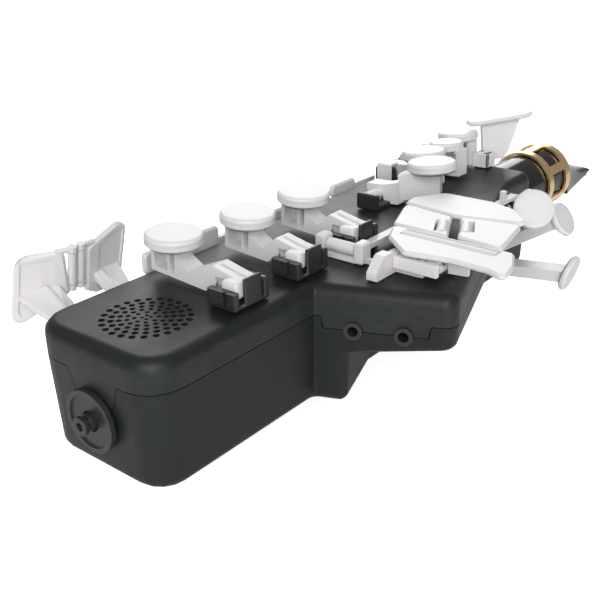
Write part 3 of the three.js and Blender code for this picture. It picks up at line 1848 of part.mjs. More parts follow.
// Along the hinge pin: the foot, two knuckles, the middle post and the last knuckle.
const nextAfter = ([, end], width) => [end + hinge.gap, end + hinge.gap + width];
const footRun = [tableX(tableFoot.leftShare), tableX(tableFoot.leftShare) + tableFoot.width];
const cSharpRun = nextAfter(footRun, hinge.knuckle);
const lowFlatRun = nextAfter(cSharpRun, hinge.narrow);
const middleRun = nextAfter(lowFlatRun, hinge.post);
const lowBRun = nextAfter(middleRun, hinge.knuckle);
const sharpArmX = keyF.pivotX + bracket.reachBack + sharpHinge.armGap + table.armHalf;
const sharpRun = [sharpArmX - sharpHinge.tubeLeft, sharpArmX + sharpHinge.tubeRight];
const sharpNearRun = [sharpRun[0] - hinge.gap - sharpHinge.nearPost, sharpRun[0] - hinge.gap];
const sharpFarRun = nextAfter(sharpRun, sharpHinge.farPost);
const middleOf = ([from, to]) => (from + to) / 2;
const knuckles = {
  key_g_sharp: { run: sharpRun, armX: sharpArmX, pivotY: sharpPivotY },
  key_c_sharp: { run: cSharpRun, armX: middleOf(cSharpRun), pivotY: tablePivotY },
  key_low_b_flat: { run: lowFlatRun, armX: middleOf(lowFlatRun), pivotY: tablePivotY },
  key_low_b: { run: lowBRun, armX: middleOf(lowBRun), pivotY: tablePivotY },
};

function rollerRun({ fromShares, toShares }) {
  const start = new THREE.Vector3(tableX(fromShares[0]), tableY(fromShares[1]), rollerZ);
  const end = new THREE.Vector3(tableX(toShares[0]), tableY(toShares[1]), rollerZ);
  return { start, end, along: end.clone().sub(start).normalize() };
}

function rollerSolid(roller) {
  const { start, end, along } = rollerRun(roller);
  const pinStart = start.clone().addScaledVector(along, -rollerSize.pinLength);
  const pinEnd = end.clone().addScaledVector(along, rollerSize.pinLength);
  return join(
    rod(start.toArray(), end.toArray(), rollerSize.radius, 14),
    rod(pinStart.toArray(), pinEnd.toArray(), rollerSize.pin, 10),
  );
}

// The slot that a roller turns in, and the holes for its pins.
function rollerCuts(roller) {
  const { start, end, along } = rollerRun(roller);
  const from = start.clone().addScaledVector(along, -clearance);
  const to = end.clone().addScaledVector(along, clearance);
  const pinStart = start.clone().addScaledVector(along, -rollerSize.pinLength - clearance);
  const pinEnd = end.clone().addScaledVector(along, rollerSize.pinLength + clearance);
  const width = rollerSize.radius + clearance;
  const across = new THREE.Vector3(0, 0, 1).cross(along);
  const middle = from.clone().add(to).multiplyScalar(0.5);
  const length = to.distanceTo(from);
  const slot = box([-length / 2, -width, -width], [length / 2, width, width]);
  const matrix = new THREE.Matrix4().makeBasis(along, across, new THREE.Vector3(0, 0, 1));
  matrix.setPosition(middle);
  return [
    placed(slot, matrix),
    rod(pinStart.toArray(), pinEnd.toArray(), rollerSize.pin + pinClearance, 10),
  ];
}

function tableKey(name) {
  const low = keyTop(table.top - table.thickness);
  const high = keyTop(table.top);
  const corners = plateShares[name].map(([x, y, round]) => [tableX(x), tableY(y), round]);
  const touch = plate(corners, low, high, table.edge, 3);
  const roller = rollers.find((item) => item.key === name);
  const carrier = roller ? rollerCarrier(roller) : [];
  const whole = join(touch, carrier, tableArm(name));
  if (!roller) return whole;
  const body = cut(whole, rollerCuts(roller));
  return name === "key_low_b_flat" ? join(body, tableSkirt()) : body;
}

// End blocks under the plate, deep enough to hold the roller's pins.
function rollerCarrier(roller) {
  const { start, end, along } = rollerRun(roller);
  const size = rollerSize.pinLength + rollerSize.bridge;
  const block = (at, direction) => {
    const from = at.clone().addScaledVector(direction, clearance);
    const to = at.clone().addScaledVector(direction, clearance + size);
    return rod(from.toArray(), to.toArray(), rollerSize.radius - rollerSize.rise, 12);
  };
  return [block(start, along.clone().negate()), block(end, along)];
}

// A knuckle on the hinge pin, and the arm and riser that carry one touch.
function tableArm(name) {
  const { run, armX, pivotY } = knuckles[name];
  const [from, to] = run;
  const armTo = tableY(armShares[name]);
  const pivotZ = keyTop(table.pivotZ);
  const barrel = rod([from, pivotY, pivotZ], [to, pivotY, pivotZ], table.knuckle, 12);
  const hole = rod(
    [from - overrun, pivotY, pivotZ],
    [to + overrun, pivotY, pivotZ],
    table.pin + pinClearance,
    10,
  );
  const arm = box(
    [armX - table.armHalf, pivotY, keyTop(table.armLow)],
    [armX + table.armHalf, armTo, keyTop(table.armHigh)],
  );
  const riser = box(
    [armX - table.armHalf, armTo - 2 * table.armHalf, keyTop(table.armLow)],
    [armX + table.armHalf, armTo, keyTop(table.top - table.thickness + table.edge)],
  );
  return cut(join(barrel, arm, riser), hole);
}

// A wall under the low B flat touch, notched over the low B arm.
function tableSkirt() {
  const { toShares } = rollers.find(({ key }) => key === "key_low_b_flat");
  const farY = tableY(toShares[1]) - rollerSize.radius - clearance - table.skirtThickness;
  const nearY = tablePivotY + table.postDepth + hinge.gap;
  const start = new THREE.Vector3(tableX(skirt.leftShare), nearY, 0);
  const end = new THREE.Vector3(tableX(skirt.rightShare), farY, 0);
  const run = end.clone().sub(start);
  const along = run.clone().normalize();
  const across = new THREE.Vector3(0, 0, 1).cross(along);
  const matrix = new THREE.Matrix4().makeBasis(along, across, new THREE.Vector3(0, 0, 1));
  const wall = box(
    [0, 0, keyTop(table.skirtLow)],
    [run.length(), table.skirtThickness, keyTop(table.top - table.thickness + table.edge)],
  );
  const { armX } = knuckles.key_low_b;
  const notch = box(
    [armX - table.armHalf - table.edge, start.y, keyTop(0)],
    [armX + table.armHalf + table.edge, end.y + 2 * table.skirtThickness, keyTop(table.skirtNotch)],
  );
  return cut(placed(wall, matrix.setPosition(start)), notch);
}


function hingePost(from, to, near, far, top) {
  return plate(
    [
      [from, near, bracket.edge],
      [to, near, bracket.edge],
      [to, far, bracket.edge],
      [from, far, bracket.edge],
    ],
    keyTop(clearance),
    keyTop(top),
    bracket.edge,
    2,
  );
}

function hingeFloor(from, to, pivotY) {
  return box(
    [from + bracket.edge, pivotY - table.postDepth + bracket.edge, keyTop(clearance)],
    [to - bracket.edge, pivotY + table.postDepth - bracket.edge, keyTop(table.base)],
  );
}

const hingePin = (from, to, pivotY) =>
  rod([from, pivotY, keyTop(table.pivotZ)], [to, pivotY, keyTop(table.pivotZ)], table.pin, 10);

// The foot that stands in front of the table, with a lower end under the touches.
function tableFootSolid() {
  const low = keyTop(clearance);
  const under = keyTop(table.underTop);
  const near = tablePivotY - tableFoot.near;
  const ledge = tablePivotY - tableFoot.ledge;
  const far = tablePivotY + table.postDepth;
  const profile = [
    [near, low, bracket.edge],
    [far, low, bracket.edge],
    [far, under, bracket.edge],
    [ledge, under, bracket.edge],
    [ledge - bracket.edge * 2, keyTop(table.postTop), bracket.edge],
    [near + tableFoot.knee, keyTop(table.postTop), bracket.edge * 2],
    [near, keyTop(tableFoot.toe), bracket.edge],
  ];
  return prismX(rounded(profile, 2), ...footRun);
}

function tableBracket() {
  const post = ([from, to], pivotY, top) =>
    hingePost(from, to, pivotY - table.postDepth, pivotY + table.postDepth, top);
  const sharp = join(
    hingeFloor(sharpNearRun[0], sharpFarRun[1], sharpPivotY),
    post(sharpNearRun, sharpPivotY, table.postTop),
    post(sharpFarRun, sharpPivotY, table.postTop),
    hingePin(sharpNearRun[1] - bracket.edge, sharpFarRun[0] + bracket.edge, sharpPivotY),
  );
  const low = join(
    hingeFloor(footRun[0], middleRun[1], tablePivotY),
    tableFootSolid(),
    post(middleRun, tablePivotY, table.underTop),
    hingePin(footRun[1] - bracket.edge, lowBRun[1] + overrun, tablePivotY),
  );
  const link = box(
    [sharpFarRun[0] + bracket.edge, sharpPivotY, keyTop(clearance)],
    [footRun[1] - bracket.edge, sharpPivotY + table.postDepth - bracket.edge, keyTop(table.base)],
  );
  return join(sharp, link, low);
}

// Side, palm and little finger keys on the walls

const sidePad = { thickness: 2.4, edge: 0.7, corner: 1.9 };

function sideKeySolid(key) {
  const x = sidePivot[0] - sidePad.thickness / 2;
  const pad = plate(
    [
      [key.padFrom, key.padLow, sidePad.corner],
      [key.padTo, key.padLow, sidePad.edge],
      [key.padTo, key.padHigh, sidePad.corner],
      [key.padFrom, key.padHigh, sidePad.corner],
    ],
    0,
    sidePad.thickness,
    sidePad.edge,
    3,
  );
  const matrix = new THREE.Matrix4().makeBasis(
    new THREE.Vector3(0, 1, 0),
    new THREE.Vector3(0, 0, 1),
    new THREE.Vector3(1, 0, 0),
  );
  matrix.setPosition(x, 0, 0);
  const bar = box(
    [x, key.padTo - sidePad.corner, Math.max(key.padLow, sidePivot[1])],
    [x + sidePad.thickness, key.barTo, key.barHigh],
  );
  const [pivotX, pivotZ] = sidePivot;
  const barrel = rod([pivotX, key.tubeFrom, pivotZ], [pivotX, key.barTo, pivotZ], lugs.tube);
  const web = box(
    [x, key.tubeFrom, sidePivot[1]],
    [x + sidePad.thickness, key.barTo, Math.max(key.padLow, sidePivot[1]) + sidePad.edge],
  );
  return join(placed(pad, matrix), bar, barrel, web, trunnions(sidePivot, key.tubeFrom, key.barTo));
}

function trunnions([x, z], from, to) {
  return rod(
    [x, from - clearance - lugs.pinLength, z],
    [x, to + clearance + lugs.pinLength, z],
    lugs.pin,
    10,
  );
}

const paddles = {
  leanAngle: 12,
  thickness: 2.2,
  edge: 0.8,
  corner: 2.6,
  rollerOut: 19,
  rise: 14,
  nearY: 28.8,
  farY: 36.2,
  nearFlareAngle: 34,
  farFlareAngle: 5,
  size: 20,
  strut: 4.4,
  strutThickness: 2.4,
};
const nearShares = [
  [0, -0.4, 0.05],
  [0.91, -0.93, 0.11],
  [0.97, -0.7, 0.2],
  [0.77, 0.37, 0.15],
  [0, 0.4, 0.12],
];
const farShares = [
  [0, -0.49, 0.05],
  [0.27, -0.64, 0.2],
  [0.81, -0.65, 0.13],
  [0.89, 0.51, 0.15],
  [0.65, 0.58, 0.15],
  [0, 0.33, 0.1],
];

// A leaning plate: its local x runs away from the rollers, its local y up.
function paddleFrame(startY, direction, flare) {
  const lean = paddles.leanAngle * degree;
  const away = new THREE.Vector3(-Math.sin(flare * degree), direction * Math.cos(flare * degree), 0);
  const up = new THREE.Vector3(Math.sin(lean), 0, Math.cos(lean));
  const right = up.clone().addScaledVector(away, -up.dot(away)).normalize();
  const matrix = new THREE.Matrix4().makeBasis(away, right, away.clone().cross(right));
  matrix.setPosition(-(half + paddles.rollerOut), startY, paddlePivot[1] + paddles.rise);
  return matrix;
}

const pinkyRoller = {
  radius: 1.5,
  length: 11.4,
  pin: 0.6,
  lug: 2,
  offset: 2.05,
  pinLength: 1.4,
  middle: 0.6,
  bridge: 1,
  grip: 3,
};
const paddleKeys = [
  {
    name: "low_e_flat_key",
    roller: "e_flat_roller",
    outlineShares: nearShares,
    startY: paddles.nearY,
    direction: -1,
    flareAngle: paddles.nearFlareAngle,
    tubeFrom: paddle.lowEFrom,
    tubeTo: paddle.lowETo,
    strutShare: 0.4,
  },
  {
    name: "low_c_key",
    roller: "c_roller",
    outlineShares: farShares,
    startY: paddles.farY,
    direction: 1,
    flareAngle: paddles.farFlareAngle,
    tubeFrom: paddle.lowCFrom,
    tubeTo: paddle.lowCTo,
    strutShare: 0.3,
  },
];

const pinkyFrame = (key) => paddleFrame(key.startY, key.direction, key.flareAngle);

function pinkyRollerAxis(key) {
  const lean = paddles.leanAngle * degree;
  const up = new THREE.Vector3(Math.sin(lean), 0, Math.cos(lean));
  const base = new THREE.Vector3(
    -(half + paddles.rollerOut),
    key.startY - key.direction * pinkyRoller.offset,
    paddlePivot[1] + paddles.rise,
  );
  const at = (height) => base.clone().addScaledVector(up, height + pinkyRoller.middle).toArray();
  return at;
}

function pinkyRollerSolid(key) {
  const at = pinkyRollerAxis(key);
  const reach = pinkyRoller.length / 2;
  return join(
    rod(at(-reach), at(reach), pinkyRoller.radius, 12),
    rod(at(-reach - pinkyRoller.pinLength), at(reach + pinkyRoller.pinLength), pinkyRoller.pin, 10),
  );
}

function paddleKey(key) {
  const matrix = pinkyFrame(key);
  const corners = key.outlineShares.map((point) => point.map((share) => share * paddles.size));
  const halfThick = paddles.thickness / 2;
  const touch = placed(plate(corners, -halfThick, halfThick, paddles.edge, 3), matrix);
  const at = pinkyRollerAxis(key);
  const reach = pinkyRoller.length / 2 + clearance;
  const ears = [-1, 1].map((end) => {
    const low = at(end * reach);
    const high = at(end * (reach + pinkyRoller.lug));
    const middle = at(end * (reach + pinkyRoller.lug / 2));
    const grip = new THREE.Vector3(...middle).applyMatrix4(matrix.clone().invert());
    const inPlate = new THREE.Vector3(pinkyRoller.grip, grip.y, 0).applyMatrix4(matrix);
    return join(
      rod(low, high, pinkyRoller.radius, 10),
      rod(middle, inPlate.toArray(), pinkyRoller.bridge, 8),
    );
  });
  const holes = rod(
    at(-reach - pinkyRoller.pinLength - clearance),
    at(reach + pinkyRoller.pinLength + clearance),
    pinkyRoller.pin + pinClearance,
    10,
  );
  const pad = new THREE.Vector3(key.strutShare * paddles.size, -paddles.strut, 0).applyMatrix4(matrix);
  const middle = (key.tubeFrom + key.tubeTo) / 2;
  const strut = rod(
    [paddlePivot[0], middle, paddlePivot[1]],
    pad.toArray(),
    paddles.strutThickness,
    10,
    paddles.strutThickness / 2,
  );
  const tube = rod(
    [paddlePivot[0], key.tubeFrom, paddlePivot[1]],
    [paddlePivot[0], key.tubeTo, paddlePivot[1]],
    lugs.tube,
  );
  return join(
    cut(join(touch, ears), holes),
    strut,
    tube,
    trunnions(paddlePivot, key.tubeFrom, key.tubeTo),
  );
}

const palmTouch = {
  out: 23.6,
  beyondTable: 5.2,
  rise: 12.2,
  radius: 7.15,
  thickness: 2.6,
  edge: 0.9,
  stemRadius: 2.4,
  stemDepth: 7,
  armRadius: 2.2,
  bendOut: 5.4,
  bendUp: 5,
};

function palmKeyOne() {
  const normal = unit(0.39, -0.7, 0.58).toArray();
  const centre = [
    palmPivot[0] + palmTouch.out,
    tableY(1) + palmTouch.beyondTable,
    palmPivot[1] + palmTouch.rise,
  ];
  const disc = puck(
    palmTouch.radius,
    palmTouch.thickness,
    palmTouch.edge,
    beyond(centre, normal, -palmTouch.thickness),
    normal,
  );
  const knee = beyond(centre, normal, -palmTouch.stemDepth);
  const middle = (palmFrom + palmTo) / 2;
  const root = [palmPivot[0], middle, palmPivot[1]];
  const bend = [root[0] + palmTouch.bendOut, middle, root[2] + palmTouch.bendUp];
  const tube = rod([palmPivot[0], palmFrom, palmPivot[1]], [palmPivot[0], palmTo, palmPivot[1]], lugs.tube);
  return join(
    disc,
    rod(knee, beyond(centre, normal, -palmTouch.thickness / 2), palmTouch.stemRadius, 10),
    rod(root, bend, palmTouch.armRadius, 10),
    rod(bend, knee, palmTouch.armRadius, 10, palmTouch.stemRadius),
    ball(bend, palmTouch.armRadius),
    ball(knee, palmTouch.stemRadius),
    tube,
    trunnions(palmPivot, palmFrom, palmTo),
  );
}

function plungerKey(key) {
  const reach = wallReach(key) + body.wall + plunger.inside;
  const place = [key.wallX + key.out, key.y, key.z];
  const face = key.face.toArray();
  const disc = puck(
    key.radius,
    palmTouch.thickness,
    palmTouch.edge,
    beyond(place, face, -palmTouch.thickness),
    face,
  );
  const stem = box(
    [-plunger.thickness / 2, -plunger.width / 2, palmTouch.thickness / 2],
    [plunger.thickness / 2, plunger.width / 2, reach + plunger.travel],
  );
  return join(disc, placed(stem, plungerFrame(key)));
}

// Assembly

const whiteKey = () => new THREE.MeshStandardMaterial({ color: 0xeeeef0, roughness: 0.38, metalness: 0 });
const blackShell = () => new THREE.MeshStandardMaterial({ color: 0x2b2d2e, roughness: 0.62, metalness: 0 });
const blackGloss = () => new THREE.MeshStandardMaterial({ color: 0x0c0c0d, roughness: 0.12, metalness: 0 });
const blackPlastic = () => new THREE.MeshStandardMaterial({ color: 0x18191a, roughness: 0.5, metalness: 0 });
const gold = () => new THREE.MeshStandardMaterial({ color: 0xc9a063, roughness: 0.25, metalness: 1 });
const steel = () => new THREE.MeshStandardMaterial({ color: 0x9a9ca0, roughness: 0.35, metalness: 1 });
const boardGreen = () => new THREE.MeshStandardMaterial({ color: 0x1e5a38, roughness: 0.5, metalness: 0 });
const silverWrap = () => new THREE.MeshStandardMaterial({ color: 0x8f9499, roughness: 0.4, metalness: 0.3 });
const cane = () => new THREE.MeshStandardMaterial({ color: 0xd9c48c, roughness: 0.6, metalness: 0 });
const paper = () => new THREE.MeshStandardMaterial({ color: 0x1b1b1c, roughness: 0.9, metalness: 0 });
const clearTube = () => new THREE.MeshStandardMaterial({ color: 0xcfd4d6, roughness: 0.3, metalness: 0 });

const instrument = new THREE.Group();
instrument.position.y = -body.length / 2;

function addPiece(name, solid, material) {
  const mesh = new THREE.Mesh(geometryOf(solid), material);
  mesh.name = name;
  instrument.add(mesh);
  return mesh;
}

// A key is built in its pressed pose, hung on its pivot and turned up to its rest.
function addHinged(name, solid, material, pivot, axis, restAngle) {
  const mesh = addPiece(name, solid.translate(pivot.map((value) => -value)), material);
  mesh.position.set(...pivot);
  mesh.quaternion.setFromAxisAngle(axis, restAngle * degree);
  return mesh;
}

addPiece("upper_shell", upperShell(), blackShell());
addPiece("lower_shell", lowerShell(), blackShell());
screwPlaces.forEach((place, i) => addPiece(`back_screw_${i + 1}`, backScrew(place), steel()));
addPiece("outlet_flange", outletFlange(), blackPlastic());
addPiece("outlet_valve", outletValve(), blackPlastic());
addPiece("headphone_jack", jackSocket(jackPlaces[0]), blackPlastic());
addPiece("line_jack", jackSocket(jackPlaces[1]), blackPlastic());
addPiece("usb_port", usbPort(), steel());
addPiece("power_button", sideButton(buttonYs[0]), blackPlastic());
addPiece("mode_button", sideButton(buttonYs[1]), blackPlastic());
addPiece("main_board", mainBoard(), boardGreen());
addPiece("battery", batteryPack(), silverWrap());
addPiece("speaker_basket", speakerBasket(), steel());
addPiece("speaker_cone", speakerCone(), paper());
addPiece("breath_sensor", breathSensor(), blackPlastic());
addPiece("breath_tube", breathTube(), clearTube());
addPiece("neck_receiver", neckReceiver(), blackGloss());
addPiece("mouthpiece", mouthpiece(), blackGloss());
addPiece("reed", reed(), cane());
addPiece("ligature", ligature(), gold());
ligatureScrewYs.forEach((y, i) => addPiece(`ligature_screw_${i + 1}`, ligatureScrew(y), gold()));
addPiece("thumb_hook", thumbHook(), blackPlastic());
addPiece("thumb_rest", thumbRest(), blackPlastic());
addPiece("octave_key", octaveKey(), blackPlastic());
addPiece("strap_ring", strapRing(), blackPlastic());

levers.forEach((key) => {
  const side = leverSide(key);
  addHinged(key.name, leverSolid(key), whiteKey(), leverPivot(key), axisY, side * lever.restAngle);
});
addHinged("key_g", leverGSolid(), whiteKey(), pivotG, axisY, -lever.restAngle);
["key_d", "key_e", "key_f"].forEach((name) => {
  const key = levers.find((item) => item.name === name);
  addPiece(name.replace("key", "bracket"), leverBracket(key), blackPlastic());
});
addPiece("bracket_g", bracketG(), blackPlastic());
addPiece("bracket_upper", bracketUpper(), blackPlastic());
addPiece("key_front_f", frontF(), whiteKey());
Object.keys(plateShares).forEach((name) => addPiece(name, tableKey(name), whiteKey()));
rollers.forEach((roller) => addPiece(roller.name, rollerSolid(roller), whiteKey()));
addPiece("table_bracket", tableBracket(), whiteKey());
sideKeys.forEach((key) => addPiece(key.name, sideKeySolid(key), whiteKey()));
paddleKeys.forEach((key) => {
  addPiece(key.name, paddleKey(key), whiteKey());
  addPiece(key.roller, pinkyRollerSolid(key), whiteKey());
});
addPiece("palm_key_1", palmKeyOne(), whiteKey());
plungers.forEach((key) => addPiece(key.name, plungerKey(key), whiteKey()));

export default instrument;
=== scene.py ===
import json
import math

import bmesh
import bpy
from bpy.props import FloatProperty, FloatVectorProperty
from bpy.types import Operator, Panel, PropertyGroup
from mathutils import Matrix, Vector


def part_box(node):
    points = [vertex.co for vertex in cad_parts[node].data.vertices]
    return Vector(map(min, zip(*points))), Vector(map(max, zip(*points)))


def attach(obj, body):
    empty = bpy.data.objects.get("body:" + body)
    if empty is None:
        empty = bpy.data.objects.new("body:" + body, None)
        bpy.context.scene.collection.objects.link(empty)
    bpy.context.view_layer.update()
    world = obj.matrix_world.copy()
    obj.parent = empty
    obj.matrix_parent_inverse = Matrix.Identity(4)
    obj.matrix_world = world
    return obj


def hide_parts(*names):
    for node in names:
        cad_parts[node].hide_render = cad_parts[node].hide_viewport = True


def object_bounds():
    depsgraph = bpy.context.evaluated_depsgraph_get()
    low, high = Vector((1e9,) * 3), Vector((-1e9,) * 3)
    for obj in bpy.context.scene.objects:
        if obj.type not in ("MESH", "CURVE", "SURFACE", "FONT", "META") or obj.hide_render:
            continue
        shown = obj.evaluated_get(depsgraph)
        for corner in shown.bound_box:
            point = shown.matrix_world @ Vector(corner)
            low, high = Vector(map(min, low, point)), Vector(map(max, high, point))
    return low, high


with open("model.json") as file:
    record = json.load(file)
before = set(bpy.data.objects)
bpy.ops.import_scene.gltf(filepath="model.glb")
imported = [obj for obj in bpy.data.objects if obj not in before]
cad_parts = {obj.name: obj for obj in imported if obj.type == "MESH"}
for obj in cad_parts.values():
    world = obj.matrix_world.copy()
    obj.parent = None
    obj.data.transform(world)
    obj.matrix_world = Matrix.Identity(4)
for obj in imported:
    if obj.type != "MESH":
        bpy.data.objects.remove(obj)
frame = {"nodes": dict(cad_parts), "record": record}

bl_info = {
    "name": "Wind Controller",
    "version": (1, 0, 0),
    "blender": (4, 5, 0),
    "location": "View3D > Sidebar > Wind Controller",
    "description": "Dresses a digital wind controller around its packed frame",
    "category": "Add Mesh",
}

MM = 0.001
CAD_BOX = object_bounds()
RECORD = frame["record"]
BODY_OF = {
    node: body
    for body, nodes in RECORD["behaviour"]["bodies"].items()
    for node in nodes
}
SLOT_OF = {part["node"]: part["material_slot"] for part in RECORD["subparts"]}

# Sizes of the dressed pieces
WELD = 0.002 * MM
FLAT_ANGLE = math.radians(0.6)
EDGE_ANGLE = math.radians(34)
SMOOTH_ANGLE = math.radians(33)
NORMAL_WEIGHT = 80
ROUND_PROFILE = 0.5
FINE_SIDES = 64
SHELL_WALL = 2.2 * MM
SKIN = 0.02 * MM

# The round touches: rim, depth, parting groove and crown, and what counts as a round face
TOUCH_EDGE = 1.2 * MM
TOUCH_DEPTH = 4.3 * MM
PALM_EDGE = 0.9 * MM
PALM_DEPTH = 2.6 * MM
TOUCH_BANDS = 5
GROOVE = 0.12 * MM
RIM_STEPS = 6
CROWN_REACH = 0.62
CROWN_DIP = 1.6
ROUND_CORNERS = 18
ROUND_SPREAD = 0.03

# The speaker grille: each ring of holes has its reach, its count and the scale of its holes
GRILLE_PLACE = (1.5 * MM, -88.8 * MM)
GRILLE_RADIUS = 12.7 * MM
GRILLE_HOLE = 1.05 * MM
GRILLE_SIDES = 14
GRILLE_RINGS = (
    (1.0, 24, 1.0),
    (0.8, 21, 0.95),
    (0.615, 17, 0.86),
    (0.44, 13, 0.78),
    (0.275, 8, 0.72),
    (0.1, 4, 0.6),
)
PLUG_RADIUS = GRILLE_RADIUS + 2 * GRILLE_HOLE
PLUG_DROP = 0.35 * MM

# Noise of the surfaces: scale and detail
CLOUD = (38, 3)
SMEAR = (120, 4)
SCUFF = (260, 4)
FIBRE = (900, 5)
GRAIN_DETAIL = 2
NOISE_MIDDLE = 0.5

# Values that the materials share
GREY = (0.5, 0.5, 0.5, 1)
PALE_GREY = (0.6, 0.6, 0.6, 1)
GRAIN_BUMP = 0.02 * MM
RIDGE = (0.52, 0.62)
EDGE_LIGHTENING = 0.5

# The reed's cane: stretch of its fibres, places and colours along them, roughness and bump
CANE_STRETCH = (1, 0.04, 1)
CANE_RAMP = ((0.3, (0.42, 0.29, 0.12, 1)), (0.65, (0.78, 0.64, 0.36, 1)))
CANE_ROUGH = (0.45, 0.65)
CANE_BUMP = 0.03 * MM
CANE_RELIEF = 0.5

# The studio: the floor's glow away from and in the camera's rays, the sky's strength at the horizon and
# overhead, and each light's place, size and power
FLOOR_SIZE = 6
FLOOR_GLOW = (0.12, 0.8)
SKY_SHADE = (0.25, 0.42)
LIGHT_AIM = (0, 0, 0.02)
LIGHTS = (
    ("Top light", (0.05, 0.25, 1.4), 1.5, 0.4),
    ("Back light", (-1.0, 1.25, 0.75), 1.4, 15),
    ("Front light", (1.0, -1.3, 0.9), 1.6, 30),
)

# The camera, from the lines of the body in the reference view
CAMERA_PLACE = (181.133 * MM, -236.140 * MM, 148.799 * MM)
CAMERA_RIGHT = (0.77582, 0.63060, -0.02353)
CAMERA_UP = (-0.24308, 0.33303, 0.91108)
CAMERA_BACK = (0.58233, -0.70106, 0.41163)
CAMERA_LENS = 52.83
CAMERA_SENSOR = 36


class WindControllerLook(PropertyGroup):
    """Colours and edge sizes that a user would change."""

    shell_colour: FloatVectorProperty(
        name="Shell colour",
        description="Base colour of the black two-part body",
        default=(0.0095, 0.0118, 0.0118),
        min=0,
        max=1,
        subtype="COLOR",
    )
    key_colour: FloatVectorProperty(
        name="Key colour",
        description="Base colour of the white moulded keys",
        default=(0.71, 0.69, 0.7),
        min=0,
        max=1,
        subtype="COLOR",
    )
    bracket_colour: FloatVectorProperty(
        name="Bracket colour",
        description="Base colour of the black brackets and small black parts",
        default=(0.021, 0.0235, 0.024),
        min=0,
        max=1,
        subtype="COLOR",
    )
    lacquer_colour: FloatVectorProperty(
        name="Lacquer colour",
        description="Base colour of the gold ligature",
        default=(0.8, 0.5, 0.2),
        min=0,
        max=1,
        subtype="COLOR",
    )
    key_edge: FloatProperty(
        name="Key edge",
        description="Radius of the rounded edges of the white keys",
        default=0.45 * MM,
        min=0.05 * MM,
        max=1 * MM,
        subtype="DISTANCE",
        unit="LENGTH",
    )
    small_edge: FloatProperty(
        name="Small edge",
        description="Radius of the rounded edges of brackets, seams and fittings",
        default=0.2 * MM,
        min=0.02 * MM,
        max=0.6 * MM,
        subtype="DISTANCE",
        unit="LENGTH",
    )


def look():
    return bpy.context.scene.wind_controller


# Shader node groups

def new_group(name, inputs, outputs):
    group = bpy.data.node_groups.new(name, "ShaderNodeTree")
    for label, kind, value in inputs:
        socket = group.interface.new_socket(label, in_out="INPUT", socket_type=kind)
        socket.default_value = value
    for label, kind in outputs:
        group.interface.new_socket(label, in_out="OUTPUT", socket_type=kind)
    return group, group.nodes.new("NodeGroupInput"), group.nodes.new("NodeGroupOutput")


def place_noise(tree, vector, scale, detail):
    noise = tree.nodes.new("ShaderNodeTexNoise")
    noise.inputs["Scale"].default_value = scale
    noise.inputs["Detail"].default_value = detail
    tree.links.new(vector, noise.inputs["Vector"])
    return noise.outputs["Fac"]


def place_range(tree, value, low, high):
    spread = tree.nodes.new("ShaderNodeMapRange")
    tree.links.new(value, spread.inputs["Value"])
    for socket, source in (("To Min", low), ("To Max", high)):
        if isinstance(source, (int, float)):
            spread.inputs[socket].default_value = source
        else:
            tree.links.new(source, spread.inputs[socket])
    return spread.outputs["Result"]


def moulded_surface():
    """Mottled colour, uneven gloss and a fine grain, as on moulded plastic."""
    existing = bpy.data.node_groups.get("Moulded surface")
    if existing:
        return existing
    group, source, result = new_group(
        "Moulded surface",
        [
            ("Colour", "NodeSocketColor", GREY),
            ("Mottle", "NodeSocketFloat", 0.1),
            ("Roughness Low", "NodeSocketFloat", 0.3),
            ("Roughness High", "NodeSocketFloat", 0.4),
            ("Grain Scale", "NodeSocketFloat", 1800.0),
            ("Grain Depth", "NodeSocketFloat", 0.1),
        ],
        [
            ("Colour", "NodeSocketColor"),
            ("Roughness", "NodeSocketFloat"),
            ("Normal", "NodeSocketVector"),
        ],
    )
    place = group.nodes.new("ShaderNodeTexCoord").outputs["Object"]
    cloud = place_noise(group, place, *CLOUD)
    smear = place_noise(group, place, *SMEAR)
    grain = group.nodes.new("ShaderNodeTexNoise")
    grain.inputs["Detail"].default_value = GRAIN_DETAIL
    group.links.new(place, grain.inputs["Vector"])
    group.links.new(source.outputs["Grain Scale"], grain.inputs["Scale"])
    tint = group.nodes.new("ShaderNodeHueSaturation")
    shade = group.nodes.new("ShaderNodeMath")
    shade.operation = "MULTIPLY_ADD"
    offset = group.nodes.new("ShaderNodeMath")
    offset.operation = "SUBTRACT"
    offset.inputs[1].default_value = NOISE_MIDDLE
    group.links.new(cloud, offset.inputs[0])
    group.links.new(offset.outputs[0], shade.inputs[0])
    group.links.new(source.outputs["Mottle"], shade.inputs[1])
    shade.inputs[2].default_value = 1
    group.links.new(shade.outputs[0], tint.inputs["Value"])
    group.links.new(source.outputs["Colour"], tint.inputs["Color"])
    rough = place_range(
        group,
        smear,
        source.outputs["Roughness Low"],
        source.outputs["Roughness High"],
    )
    bump = group.nodes.new("ShaderNodeBump")
    bump.inputs["Distance"].default_value = GRAIN_BUMP
    group.links.new(grain.outputs["Fac"], bump.inputs["Height"])
    group.links.new(source.outputs["Grain Depth"], bump.inputs["Strength"])
    group.links.new(tint.outputs["Color"], result.inputs["Colour"])
    group.links.new(rough, result.inputs["Roughness"])
    group.links.new(bump.outputs["Normal"], result.inputs["Normal"])
    return group


